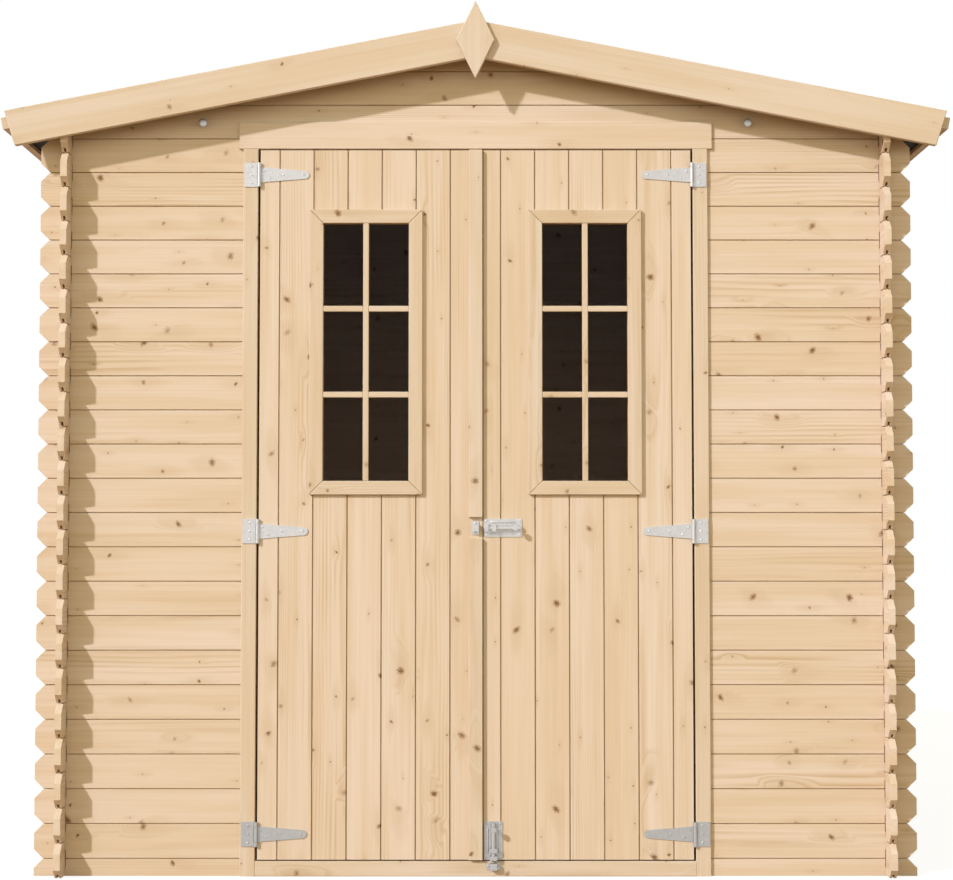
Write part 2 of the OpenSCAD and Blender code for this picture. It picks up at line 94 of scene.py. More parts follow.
# %% Nodes and values
class Value:
    """A result in a tree of nodes. Sums with it add Math nodes."""

    def __init__(self, socket):
        self.socket, self.tree = socket, socket.id_data

    def math(self, operation, *others):
        """The result of one Math node."""
        return Node(self.tree, "ShaderNodeMath", dict(enumerate((self, *others))), operation=operation)[0]

    def __add__(self, other):
        return self.math("ADD", other)

    def __sub__(self, other):
        return self.math("SUBTRACT", other)

    def __mul__(self, other):
        return self.math("MULTIPLY", other)

    def __truediv__(self, other):
        return self.math("DIVIDE", other)

    def __pow__(self, other):
        return self.math("POWER", other)


def connect(socket, value):
    """Give a socket a link or a plain value."""
    if isinstance(value, Value):
        value.tree.links.new(value.socket, socket)
    else:
        socket.default_value = value


class Node:
    """A new node with its settings, then its inputs. Its results are read by name or number."""

    def __init__(self, tree, kind, inputs=None, **settings):
        self.made, self.tree = tree.nodes.new(kind), tree
        for key, value in settings.items():
            setattr(self.made, key, value)
        for key, value in (inputs or {}).items():
            connect(self.made.inputs[key], value)

    def __getitem__(self, key):
        return Value(self.made.outputs[key])


def ramp(value, low, high, start=0.0, end=1.0):
    """A smooth step from start to end while value goes from low to high."""
    given = dict(enumerate((value, low, high, start, end)))
    return Node(value.tree, "ShaderNodeMapRange", given, interpolation_type="SMOOTHSTEP")[0]


def parts(place):
    """The three numbers of a vector."""
    made = Node(place.tree, "ShaderNodeSeparateXYZ", {0: place})
    return made[0], made[1], made[2]


print("nodes and values ready")

# %% [markdown]
# ## Light
# The photograph has one clear light from the upper left and much light in the
# shade. One sun with soft edges gives the shadows of the roof edge, the strip and
# the board ends. More lamps could fill the shade, but a world that is brighter low
# down does so evenly from all sides. Camera, glossy and transmitted rays see the
# world as plain white, as a studio's white sweep is.

# %% Sun and world
SUN_TRAVEL = Vector((1.10, 1.0, -0.832))
SUN_STRENGTH = 2.95
SUN_SOFTNESS = math.radians(2.5)
FILL_STRENGTH = 1.29
FILL_AT_HORIZON = 1.42
FILL_AT_ZENITH = 0.32
ZENITH_FROM = 0.8
FILL_COLOUR = (1.0, 0.96, 0.67, 1)
WHITE = (1, 1, 1, 1)

sun = bpy.data.lights.new("sun", "SUN")
sun.energy = SUN_STRENGTH
sun.angle = SUN_SOFTNESS
put("sun", sun).rotation_euler = SUN_TRAVEL.to_track_quat("-Z", "Y").to_euler()


def choose(share, first, second):
    """The first shader where share is nought, the second where it is one."""
    return Node(share.tree, "ShaderNodeMixShader", {0: share, 1: first, 2: second})[0]


def seen_straight(tree):
    """One for camera, glossy and transmitted rays, otherwise none."""
    path = Node(tree, "ShaderNodeLightPath")
    seen = path["Is Camera Ray"].math("MAXIMUM", path["Is Glossy Ray"])
    return seen.math("MAXIMUM", path["Is Transmission Ray"])


world = bpy.data.worlds.new("studio")
world.use_nodes = True
sky = world.node_tree
sky.nodes.clear()
upward = parts(Node(sky, "ShaderNodeTexCoord")["Generated"])[2]
by_height = ramp(upward, 0.0, ZENITH_FROM, FILL_STRENGTH * FILL_AT_HORIZON, FILL_STRENGTH * FILL_AT_ZENITH)
fill = Node(sky, "ShaderNodeBackground", {"Color": FILL_COLOUR, "Strength": by_height})[0]
sweep = Node(sky, "ShaderNodeBackground", {"Color": WHITE})[0]
Node(sky, "ShaderNodeOutputWorld", {0: choose(seen_straight(sky), fill, sweep)})
bpy.context.scene.world = world
print("sun", SUN_STRENGTH, "fill", FILL_STRENGTH)

# %% [markdown]
# ## Studio floor
# The shed stands on a floor that looks nearly white and keeps its shadow. A plain
# white floor would light the gable from below, but the real gable is darkest close
# under the roof. So the floor has one shader for rays that see it and a dull one
# for all the others.

# %% Studio floor
FLOOR_REACH = 30
FLOOR_COLOUR = (0.36, 0.22, 0.10, 1)
FLOOR_GLOW = 0.87
FLOOR_SHADE = (0.2, 0.2, 0.2, 1)


def new_finish(name):
    """A new material, its tree and its Principled shader."""
    finish = bpy.data.materials.new(name)
    finish.use_nodes = True
    return finish, finish.node_tree, finish.node_tree.nodes["Principled BSDF"]


def feed(node, **inputs):
    """Give inputs of a node a link or a plain value, with _ for a space in their names."""
    for key, value in inputs.items():
        connect(node.inputs[key.replace("_", " ")], value)


floor_paint, paint, plain_shader = new_finish("floor_paint")
paint.nodes.remove(plain_shader)
matt = Node(paint, "ShaderNodeBsdfDiffuse", {"Color": FLOOR_COLOUR})[0]
faint = Node(paint, "ShaderNodeBsdfDiffuse", {"Color": FLOOR_SHADE})[0]
glow = Node(paint, "ShaderNodeEmission", {"Strength": FLOOR_GLOW})[0]
whitened = Node(paint, "ShaderNodeAddShader", {0: glow, 1: faint})[0]
feed(paint.nodes["Material Output"], Surface=choose(seen_straight(paint), matt, whitened))

ground_mesh = bpy.data.meshes.new("studio_floor")
corners = [(-1, -1), (1, -1), (1, 1), (-1, 1)]
ground_mesh.from_pydata([(x * FLOOR_REACH, y * FLOOR_REACH, 0) for x, y in corners], [], [(0, 1, 2, 3)])
ground_mesh.materials.append(floor_paint)
ground = put("studio_floor", ground_mesh)
print("floor", 2 * FLOOR_REACH, "m wide")

# %% [markdown]
# ## Finish: spruce
# The boards are planed, untreated spruce: cream, with fine darker rings that run
# along the board, and small brown knots that the rings flow round. A picture would
# repeat, so the wood is worked out as in a log: every point of a board carries its
# own place in the log (along, across, deep) in the attribute "grain". The distance
# to the pith gives the rings, and a scatter of cells gives the knots. Three more
# attributes help: "tone" makes each board a little lighter or darker, "end_grain"
# marks the sawn ends, where the rings hardly show, and "board_edge" marks the
# edges, which get painted shade: a browner tint for the light that goes to and fro
# between wood and wood inside a joint.

# %% Shader helpers
def mix(share, first, second):
    """Two colours mixed."""
    return Node(share.tree, "ShaderNodeMix", {0: share, 6: first, 7: second}, data_type="RGBA")[2]


def tinted(colour, tint):
    """A colour multiplied by a tint."""
    given = {0: 1.0, 6: colour, 7: tint}
    return Node(colour.tree, "ShaderNodeMix", given, data_type="RGBA", blend_type="MULTIPLY")[2]


def noise(place, scale, detail, roughness=0.5):
    """A noise texture's value."""
    given = {"Vector": place, "Scale": scale, "Detail": detail, "Roughness": roughness}
    return Node(place.tree, "ShaderNodeTexNoise", given)[0]


def lots(cells):
    """Three random numbers for each cell of a Voronoi texture."""
    made = Node(cells.tree, "ShaderNodeSeparateColor", {0: cells["Color"]})
    return made[0], made[1], made[2]


def vector(*numbers):
    """Three numbers as one vector."""
    tree = next(number.tree for number in numbers if isinstance(number, Value))
    return Node(tree, "ShaderNodeCombineXYZ", dict(enumerate(numbers)))[0]


def bump(height, strength, distance):
    """A surface normal that follows a height."""
    given = {"Height": height, "Strength": strength, "Distance": distance}
    return Node(height.tree, "ShaderNodeBump", given)[0]


print("shader helpers ready")

# %% Knots
KNOT_CELL_ALONG = 0.125
KNOT_CELL_ACROSS = 0.06
KNOT_SHARE = 0.6
KNOT_SIZES = (0.0018, 0.0085)
KNOT_SIZE_POWER = 1.7
NO_KNOT = 0.00002
KNOT_FAINTEST = 0.35
KNOT_SLANT = 0.9
KNOT_ALONG = 1.1
KNOT_ACROSS = 0.95
KNOT_RAGGED = 1.4
RAGGED_SCALE = 240
KNOT_EDGE = (0.4, 1.5)
HEART_EDGE = (0.1, 0.8)
SWIRL_ALONG = 0.3
SWIRL_EDGE = (0.6, 4.5)
SWIRL_BORDER = 0.2


def distance(first, second):
    """The length of two steps at a right angle."""
    return (first ** 2 + second ** 2).math("SQRT")


def knots(log):
    """The knots, their hearts, the swirl of wood round them, and their size."""
    along, across, _ = parts(log)
    given = {"Vector": vector(along / KNOT_CELL_ALONG, across / KNOT_CELL_ACROSS, 0.0), "Scale": 1}
    cells, borders = [Node(log.tree, "ShaderNodeTexVoronoi", given, voronoi_dimensions="2D", feature=feature)
                      for feature in ("F1", "DISTANCE_TO_EDGE")]
    middle_along, middle_across, _ = parts(cells["Position"])
    lot, size_lot, slant_lot = lots(cells)
    away_along = along - middle_along * KNOT_CELL_ALONG
    away_across = across - middle_across * KNOT_CELL_ACROSS
    size = ramp(size_lot ** KNOT_SIZE_POWER, 0.0, 1.0, *KNOT_SIZES)
    size = (size * lot.math("LESS_THAN", KNOT_SHARE)).math("MAXIMUM", NO_KNOT)
    sound = ramp(lot, 0.0, KNOT_SHARE, 1.0, KNOT_FAINTEST)
    leaning = away_along + away_across * ((slant_lot - 0.5) * KNOT_SLANT)
    away = distance(leaning * KNOT_ALONG, away_across * KNOT_ACROSS)
    ratio = away / size + (noise(log, RAGGED_SCALE, detail=2) - 0.5) * KNOT_RAGGED
    knot = ramp(ratio, *KNOT_EDGE, 1.0, 0.0) * sound
    heart = ramp(ratio, *HEART_EDGE, 1.0, 0.0) * sound
    swirl = ramp(distance(away_along * SWIRL_ALONG, away_across) / size, *SWIRL_EDGE, 1.0, 0.0)
    return knot, heart, swirl * ramp(borders["Distance"], 0.0, SWIRL_BORDER), size


print("a knot in", KNOT_SHARE, "of the cells")

# %% Rings
RING_PITCH = 0.0048
RING_WANDER = 0.018
WANDER_STRETCH = (1.1, 8.0, 8.0)
LATE_FROM = 0.3
LATE_FULL = 0.85


def stretched(log, factors):
    """Places in the log, drawn out along the grain."""
    return Node(log.tree, "ShaderNodeVectorMath", {0: log, 1: factors}, operation="MULTIPLY")[0]


def late_wood(log, push):
    """The dark part of each year's ring, pushed aside round the knots."""
    _, across, deep = parts(log)
    wander = noise(stretched(log, WANDER_STRETCH), 1.0, detail=2) - 0.5
    pith = distance(across, deep) + wander * RING_WANDER + push
    year = (pith / RING_PITCH).math("FRACT")
    return ramp(year, LATE_FROM, LATE_FULL) * ramp(year, LATE_FULL, 1.0, 1.0, 0.0)


print("a ring every", RING_PITCH, "m")

# %% Spruce
FIBRE_STRETCH = (2.5, 190.0, 190.0)
FIBRE_MIDDLE = 0.42
FIBRE_SHARE = 0.6
CLOUD_SCALE = 2.6
CLOUD_RAMP = (0.35, 0.7, 0.06, 0.75)
ZONE_STRETCH = (1.6, 28.0, 28.0)
ZONE_EDGE = (0.36, 0.66)
LINED_TURNS = 7.3
LINED_RAMP = (0.3, 1.0, 0.15, 1.0)
END_RAMP = (0.2, 0.8, 1.0, 0.25)
ROUGH_RAMP = (0.2, 0.8, 0.52, 0.7)
TONE_TINT = (0.965, 0.935, 0.87, 1)
ZONE_TINT = (0.95, 0.915, 0.835, 1)
SWIRL_COVER, KNOT_COVER, HEART_COVER = 0.3, 0.85, 0.8
KNOT_HEART = (0.13, 0.062, 0.034, 1)
LATE_RISE = 0.4


def attribute(tree, name, output="Fac"):
    """An attribute of the boards."""
    return Node(tree, "ShaderNodeAttribute", attribute_name=name)[output]


def spruce(name, pale, ringed, brown, edge=WHITE, shine=0.15):
    """Spruce of three colours: early wood, late wood and knots. Edge is a painted shade that tints the
    board's edges browner, as inside a joint.
    """
    finish, tree, shader = new_finish(name)
    log, tone = attribute(tree, "grain", "Vector"), attribute(tree, "tone")
    knot, heart, swirl, size = knots(log)
    late = late_wood(log, swirl * size)
    fibre = noise(stretched(log, FIBRE_STRETCH), 1.0, detail=3)
    cloud = noise(stretched(log, WANDER_STRETCH), CLOUD_SCALE, detail=3)
    zone = ramp(noise(stretched(log, ZONE_STRETCH), 1.0, detail=2), *ZONE_EDGE)
    lined = ramp((tone * LINED_TURNS).math("FRACT"), *LINED_RAMP)
    dark = late * ramp(cloud, *CLOUD_RAMP) * lined * ramp(attribute(tree, "end_grain"), *END_RAMP)
    dark = dark + (fibre - FIBRE_MIDDLE) * FIBRE_SHARE
    wood = mix(dark.math("MAXIMUM", 0.0).math("MINIMUM", 1.0), pale, ringed)
    wood = tinted(wood, mix(tone, WHITE, TONE_TINT))
    wood = tinted(wood, mix(zone, WHITE, ZONE_TINT))
    wood = mix(swirl * SWIRL_COVER, wood, ringed)
    wood = mix(knot * KNOT_COVER, wood, brown)
    wood = mix(heart * HEART_COVER, wood, KNOT_HEART)
    # Painted shade: faces that look into a joint are tinted browner.
    feed(shader, Base_Color=mix(attribute(tree, "board_edge"), wood, tinted(wood, edge)),
         Roughness=ramp(fibre, *ROUGH_RAMP), Specular_IOR_Level=shine,
         Normal=bump(fibre + late * LATE_RISE, strength=0.25, distance=0.0004))
    print("finish", name, len(tree.nodes), "nodes")
    return finish


KNOT_BROWN = (0.27, 0.145, 0.075, 1)
# Painted shade for the inside of the joints: a browner tint on the board edges.
JOINT_PAINTED_SHADE = (0.92, 0.74, 0.5, 1)
BOARD_COLOURS = (0.662, 0.552, 0.49, 1), (0.5, 0.362, 0.245, 1), KNOT_BROWN
TRIM_COLOURS = (0.63, 0.528, 0.463, 1), (0.505, 0.371, 0.26, 1), KNOT_BROWN
# Painted shade: the roof boards are near black for the deep shade under the eaves.
ROOF_SHADE_COLOURS = (0.024, 0.016, 0.011, 1), (0.014, 0.009, 0.006, 1), (0.01, 0.007, 0.005, 1)
board_finish = spruce("board_spruce", *BOARD_COLOURS, JOINT_PAINTED_SHADE)
beam_finish = spruce("beam_spruce", *BOARD_COLOURS)
trim_finish = spruce("trim_spruce", *TRIM_COLOURS)
roof_shade_finish = spruce("tarred_spruce", *ROOF_SHADE_COLOURS, shine=0.03)

# %% [markdown]
# ## Finish: zinc
# The fittings are bright zinc-plated steel: nearly white, with a faint spangle of
# crystals. They are darker near the ground, which is painted shade. A plain grey
# metal would look like plastic here. So cells of a Voronoi texture are the
# crystals, and noise is the film on them.

# %% Zinc
SPANGLE_SCALE = 220
SPANGLE_SHARE = 0.4
FILM_SCALE = 60
# Painted shade on the zinc: full below the first height, none above the second.
ZINC_SHADE_FULL_BELOW = 0.15
ZINC_SHADE_NONE_ABOVE = 0.6
DEEPEST_ZINC_SHADE = 0.72
FILM_EDGE = (0.3, 0.7)
ROUGH_SPREAD = 0.14
METAL_SHARE = 0.75


def place_on(tree):
    """A point's place on its object."""
    return Node(tree, "ShaderNodeTexCoord")["Object"]


def zinc_plate(name, light, grey, roughness):
    """Zinc plating with a faint spangle, and painted shade that darkens it near the ground."""
    finish, tree, shader = new_finish(name)
    place = place_on(tree)
    spangle = Node(tree, "ShaderNodeTexVoronoi", {"Vector": place, "Scale": SPANGLE_SCALE})
    dull = noise(place, FILM_SCALE, detail=4, roughness=0.6)
    shade = lots(spangle)[0] * SPANGLE_SHARE + dull * (1 - SPANGLE_SHARE)
    # Painted shade: the zinc is darkened towards the ground.
    painted_low_shade = ramp(parts(place)[2], ZINC_SHADE_FULL_BELOW, ZINC_SHADE_NONE_ABOVE, DEEPEST_ZINC_SHADE, 1.0)
    feed(shader, Base_Color=tinted(mix(shade, light, grey), vector(painted_low_shade, painted_low_shade, painted_low_shade)), Metallic=METAL_SHARE,
         Roughness=ramp(dull, *FILM_EDGE, roughness, roughness + ROUGH_SPREAD),
         Normal=bump(dull, strength=0.12, distance=0.0002))
    print("finish", name, len(tree.nodes), "nodes")
    return finish


zinc_finish = zinc_plate("bright_zinc", (0.66, 0.645, 0.64, 1), (0.5, 0.485, 0.485, 1), 0.36)
dull_finish = zinc_plate("dull_zinc", (0.70, 0.68, 0.68, 1), (0.55, 0.535, 0.535, 1), 0.42)

# %% [markdown]
# ## Finish: felt
# The roof is covered with mineral felt, a dark sheet strewn with slate grains. Real
# grains would need millions of faces. So one small cell is one grain, and a bump
# from the distance to the cell's middle makes it round.

# %% Felt
GRIT_SCALE = 420
GRIT_POWER = 2.2
WEATHER_SCALE = 3.5
WEATHER_RAMP = (0.35, 0.7, 0.0, 0.4)
SLATE_DARK = (0.035, 0.037, 0.038, 1)
SLATE_LIGHT = (0.19, 0.195, 0.19, 1)
SLATE_WORN = (0.105, 0.108, 0.103, 1)
GRIT_ROUGHNESS = (0.95, 0.75)

felt_finish, felt_tree, felt_shader = new_finish("mineral_felt")
felt_place = place_on(felt_tree)
grit = Node(felt_tree, "ShaderNodeTexVoronoi", {"Vector": felt_place, "Scale": GRIT_SCALE})
grit_shade = lots(grit)[0] ** GRIT_POWER
weather = ramp(noise(felt_place, WEATHER_SCALE, detail=4), *WEATHER_RAMP)
feed(felt_shader, Base_Color=mix(weather, mix(grit_shade, SLATE_DARK, SLATE_LIGHT), SLATE_WORN),
     Roughness=ramp(grit_shade, 0.0, 1.0, *GRIT_ROUGHNESS),
     Normal=bump(grit["Distance"], strength=0.6, distance=0.0012))
print("finish", felt_finish.name, len(felt_tree.nodes), "nodes")

# %% [markdown]
# ## Finish: pane
# The panes are clear but look dark, because the shed behind them is. A glass shader
# alone would keep most light out of the shed. So light passes the panes straight,
# and only what is seen through them goes through glass.

# %% Pane
PANE_FILM_SCALE = 7
PANE_TINTS = (0.95, 0.85, 0.76, 1), (0.97, 0.89, 0.82, 1)
PANE_LETS_THROUGH = (0.93, 0.85, 0.77, 1)
PANE_ROUGH_RAMP = (0.3, 0.8, 0.02, 0.06)
PANE_BENDS = 1.16

pane_finish, pane_tree, pane_shader = new_finish("window_pane")
film = noise(place_on(pane_tree), PANE_FILM_SCALE, detail=3)
feed(pane_shader, Base_Color=mix(ramp(film, *FILM_EDGE), *PANE_TINTS), Transmission_Weight=1.0,
     IOR=PANE_BENDS, Roughness=ramp(film, *PANE_ROUGH_RAMP))
light_through = Node(pane_tree, "ShaderNodeBsdfTransparent", {"Color": PANE_LETS_THROUGH})[0]
pane_path = Node(pane_tree, "ShaderNodeLightPath")
passing = pane_path["Is Shadow Ray"].math("MAXIMUM", pane_path["Is Diffuse Ray"])
pane_surface = choose(passing, Value(pane_shader.outputs[0]), light_through)
feed(pane_tree.nodes["Material Output"], Surface=pane_surface)
print("finish", pane_finish.name, len(pane_tree.nodes), "nodes")

# %% [markdown]
# ## Working timber
# Every piece of timber is made the same way: as a closed shape in its own
# directions (along the grain, across it, deep into it), then laid in its place. A
# cube could be scaled for each, but its wood would stretch with it. A moulding is a
# section run along the grain, which suits boards with a tongue. A pile gathers all
# the boards of one node, so that they become one mesh.

# %% Pile
DEEP_IN_LOG = (0.03, 0.12)
OFF_PITH = 0.09
LOG_LENGTH = 40.0
EDGE_FACING = 0.9
LOG_SEED = 20
chance = random.Random(LOG_SEED)


class Pile:
    """Boards for one mesh, with each point's place in its log and each board's tone."""

    def __init__(self, *boards):
        self.points, self.faces, self.grain, self.tone = [], [], [], []
        for shape, axes in boards:
            self.lay(shape, axes)

    def lay(self, shape, axes):
        """Put a shape made in (along, across, deep) into the shed, as wood of its own log."""
        log = Vector((chance.uniform(0, LOG_LENGTH), chance.uniform(-OFF_PITH, OFF_PITH),
                      chance.uniform(*DEEP_IN_LOG)))
        first = len(self.points)
        shape.verts.index_update()
        self.tone += [chance.random()] * len(shape.verts)
        for point in shape.verts:
            self.points.append(axes @ point.co)
            self.grain.append(point.co + log)
        turned_over = axes.to_3x3().determinant() < 0
        for face in shape.faces:
            ring = [first + point.index for point in face.verts]
            self.faces.append(ring[::-1] if turned_over else ring)
        shape.free()

    def take(self, mesh):
        """Add a mesh of boards that already have their grain and tone."""
        first = len(self.points)
        self.points += [point.co.copy() for point in mesh.vertices]
        self.grain += [place.vector.copy() for place in mesh.attributes["grain"].data]
        self.tone += [tone.value for tone in mesh.attributes["tone"].data]
        self.faces += [[first + index for index in face.vertices] for face in mesh.polygons]

    def mesh(self, name):
        """A mesh with the boards and their four attributes."""
        made = bpy.data.meshes.new(name)
        made.from_pydata(self.points, [], self.faces)
        facing = [normal(*[self.grain[index] for index in ring]) for ring in self.faces]
        grain = made.attributes.new("grain", "FLOAT_VECTOR", "POINT")
        grain.data.foreach_set("vector", [part for place in self.grain for part in place])
        for key, domain, values in (
                ("tone", "POINT", self.tone),
                ("end_grain", "FACE", [abs(face.x) for face in facing]),
                ("board_edge", "FACE", [float(abs(face.y) > EDGE_FACING) for face in facing])):
            made.attributes.new(key, "FLOAT", domain).data.foreach_set("value", values)
        return made


print("boards come from logs of", LOG_LENGTH, "m")

# %% Shapes of timber
def skin(*rows):
    """A closed shape over rings of points, one after the other. The first may be one point."""
    shape = bmesh.new()
    rings = [[shape.verts.new(point) for point in row] for row in rows]
    for ring in (rings[0], rings[-1]):
        if len(ring) > 1:
            shape.faces.new(ring)
    for ring, following in zip(rings, rings[1:]):
        for here in range(len(following)):
            start = (ring[here - 1], ring[here]) if len(ring) > 1 else (ring[0],)
            shape.faces.new((*start, following[here], following[here - 1]))
    bmesh.ops.recalc_face_normals(shape, faces=shape.faces)
    return shape


def moulding(section, start, end):
    """A section (across, deep) run along the grain from start to end."""
    return skin(*[[(along, across, deep) for across, deep in section] for along in (start, end)])


def rectangle(start, end, low, high):
    """An outline (along, across) with square corners."""
    return [(start, low), (end, low), (end, high), (start, high)]


def axes_of(along, across, deep, origin=(0, 0, 0)):
    """The matrix that lays timber directions along directions of the shed."""
    return Matrix.Translation(origin) @ Matrix((along, across, deep)).transposed().to_4x4()


print("timber runs along the first of its axes")

# %% [markdown]
# ## Saw cuts
# Notches, end chamfers and the window holes go through a board from face to face.
# They could be built point by point. A Boolean with an outline as the saw is
# simpler, cuts them cleanly, and keeps the tongue and the groove open at the
# board's end, where the groove shows as a dark dot.

# %% Saw
SAW_REACH = 0.05
SAW_PAST = 0.02


def at_depth(outline, deep):
    """The points of an outline (along, across) at a depth."""
    return [(along, across, deep) for along, across in outline]


def joined(name, *shapes):
    """One mesh of one or more shapes, which are used up."""
    mesh = bpy.data.meshes.new(name)
    whole = bmesh.new()
    for shape in shapes:
        shape.to_mesh(mesh)
        shape.free()
        whole.from_mesh(mesh)
    whole.to_mesh(mesh)
    whole.free()
    return mesh


def worked(held):
    """The mesh that an object's modifiers make of it. The object and its own mesh go."""
    bpy.context.view_layer.update()
    evaluated = held.evaluated_get(bpy.context.evaluated_depsgraph_get())
    made = bpy.data.meshes.new_from_object(evaluated)
    held.modifiers.clear()
    discard(held)
    return made


def discard(held):
    """Delete an object and its mesh."""
    mesh = held.data
    bpy.data.objects.remove(held)
    bpy.data.meshes.remove(mesh)


def sawn(shape, *outlines):
    """Take outlines (along, across) out of a board, right through it."""
    blades = [skin(at_depth(outline, -SAW_REACH), at_depth(outline, SAW_REACH)) for outline in outlines]
    uncut = put("uncut", joined("uncut", shape))
    saw = put("saw", joined("saw", *blades))
    cutting = uncut.modifiers.new("cut", "BOOLEAN")
    cutting.operation = "DIFFERENCE"
    cutting.solver = "EXACT"
    cutting.object = saw
    cut_mesh = worked(uncut)
    discard(saw)
    result = bmesh.new()
    result.from_mesh(cut_mesh)
    bpy.data.meshes.remove(cut_mesh)
    return result


print("the saw reaches", 2 * SAW_REACH, "m through a board")

# %% [markdown]
# ## The wall board
# The board is 16 mm thick and covers 82 mm, with a tongue on its upper edge and a
# groove in its lower one. The faces meet with a fine open joint, which is the thin
# dark line on the wall. Its outer end has both corners cut off at 45 degrees, and
# quarter notches let the boards of two walls cross. The joints could be painted on
# a flat wall, but they would throw no shadow, so the section is drawn in full, once
# for the walls, the doors, the roof and the floor.

# %% Board section
BOARD_COVER = 0.082
BOARD_JOINT = 0.002
BOARD_EASE = 0.0007
TONGUE_REACH = 0.008
GROOVE_DEPTH = 0.0092
TONGUE_DEEP = (0.0052, 0.0104)
GROOVE_DEEP = (0.0050, 0.0106)

wall_low, wall_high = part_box("front_wall_left")
side_low, side_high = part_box("left_wall")
gable_low, gable_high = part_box("front_gable")
BOARD_THICK = wall_high.y - wall_low.y


def board_section(cover, joint=BOARD_JOINT):
    """Tongue-and-groove section (across, deep), its outer face at depth nought."""
    low, high = joint / 2, cover - joint / 2
    ease, thick = BOARD_EASE, BOARD_THICK
    tongue, groove = high + TONGUE_REACH, low + GROOVE_DEPTH
    return [
        (low + ease, 0), (high - ease, 0), (high, ease),
        (high, TONGUE_DEEP[0]), (tongue, TONGUE_DEEP[0]), (tongue, TONGUE_DEEP[1]), (high, TONGUE_DEEP[1]),
        (high, thick - ease), (high - ease, thick), (low + ease, thick), (low, thick - ease),
        (low, GROOVE_DEEP[1]), (groove, GROOVE_DEEP[1]), (groove, GROOVE_DEEP[0]), (low, GROOVE_DEEP[0]),
        (low, ease),
    ]


print("board section", len(board_section(BOARD_COVER)), "corners")

# %% Board ends
END_CHAMFER = 0.022
NOTCH_SHARE = 0.25
NOTCH_PLAY = 0.0018


def end_cuts(end, inward):
    """Saw outlines of the upper and lower corner cut off a board's end; inward is 1 or -1."""
    top = [(end - inward * SAW_PAST, BOARD_COVER - END_CHAMFER - SAW_PAST),
           (end + inward * (END_CHAMFER + SAW_PAST), BOARD_COVER + SAW_PAST),
           (end - inward * SAW_PAST, BOARD_COVER + SAW_PAST)]
    return top, [(along, BOARD_COVER - across) for along, across in top]


def crossing_cuts(start, end):
    """Saw outlines of the upper and lower notch where another wall crosses."""
    reach = NOTCH_SHARE * BOARD_COVER
    span = (start - NOTCH_PLAY, end + NOTCH_PLAY)
    return rectangle(*span, BOARD_COVER - reach, BOARD_COVER + SAW_PAST), rectangle(*span, -SAW_PAST, reach)


def corner_cuts(end, inward, crossing):
    """All four cuts at one end of a board, upper and lower in turn."""
    return end_cuts(end, inward) + crossing_cuts(*crossing)


def wall_board(start, end, *cuts):
    """A wall board from start to end with its cuts."""
    return sawn(moulding(board_section(BOARD_COVER), start, end), *cuts)


print("board", round(BOARD_COVER * 1000), "by", round(BOARD_THICK * 1000), "mm")

# %% [markdown]
# ## Stacking the boards
# A wall is one board repeated at an even pitch. A loop could copy it, but this is
# what Geometry Nodes are for: a line of points, one board on each, and for each
# board its own random place in the log and its own tone. Realize Instances makes
# the stack a plain mesh again. The tone goes by another name until then, because
# the board's mesh has a "tone" already, which would win.

# %% Geometry helpers
def new_tree(name, output, **inputs):
    """A new Geometry Nodes tree and what is given to it, as name=kind."""
    tree = bpy.data.node_groups.new(name, "GeometryNodeTree")
    for key, kind in inputs.items():
        tree.interface.new_socket(key, in_out="INPUT", socket_type="NodeSocket" + kind)
    tree.interface.new_socket(output, in_out="OUTPUT", socket_type="NodeSocketGeometry")
    return tree, Node(tree, "NodeGroupInput")


def store(geometry, name, value, kind, domain):
    """Keep a value on geometry under a name."""
    given = {"Geometry": geometry, "Name": name, "Value": value}
    return Node(geometry.tree, "GeometryNodeStoreNamedAttribute", given, data_type=kind, domain=domain)[0]


def read(tree, name, kind):
    """The value that geometry keeps under a name."""
    return Node(tree, "GeometryNodeInputNamedAttribute", {"Name": name}, data_type=kind)["Attribute"]


def on_points(points, thing, **inputs):
    """A copy of a thing on every point."""
    given = {"Points": points, "Instance": thing, **inputs}
    return Node(points.tree, "GeometryNodeInstanceOnPoints", given)[0]


def realized(copies):
    """Copies as a plain mesh."""
    return Node(copies.tree, "GeometryNodeRealizeInstances", {0: copies})[0]


def end_tree(geometry, finish):
    """Give geometry its finish and hand it out of its tree."""
    finished = Node(geometry.tree, "GeometryNodeSetMaterial", {"Geometry": geometry, "Material": finish})[0]
    Node(geometry.tree, "NodeGroupOutput", {0: finished})
    print("tree", geometry.tree.name, len(geometry.tree.nodes), "nodes")


def made_by_nodes(tree, mesh, **values):
    """Run a node tree on a mesh and give back a plain mesh."""
    holder = put("holder", mesh)
    nodes = holder.modifiers.new("nodes", "NODES")
    nodes.node_group = tree
    for item in tree.interface.items_tree:
        if item.in_out == "INPUT" and item.name in values:
            nodes[item.identifier] = values[item.name]
    return worked(holder)


print("geometry helpers ready")

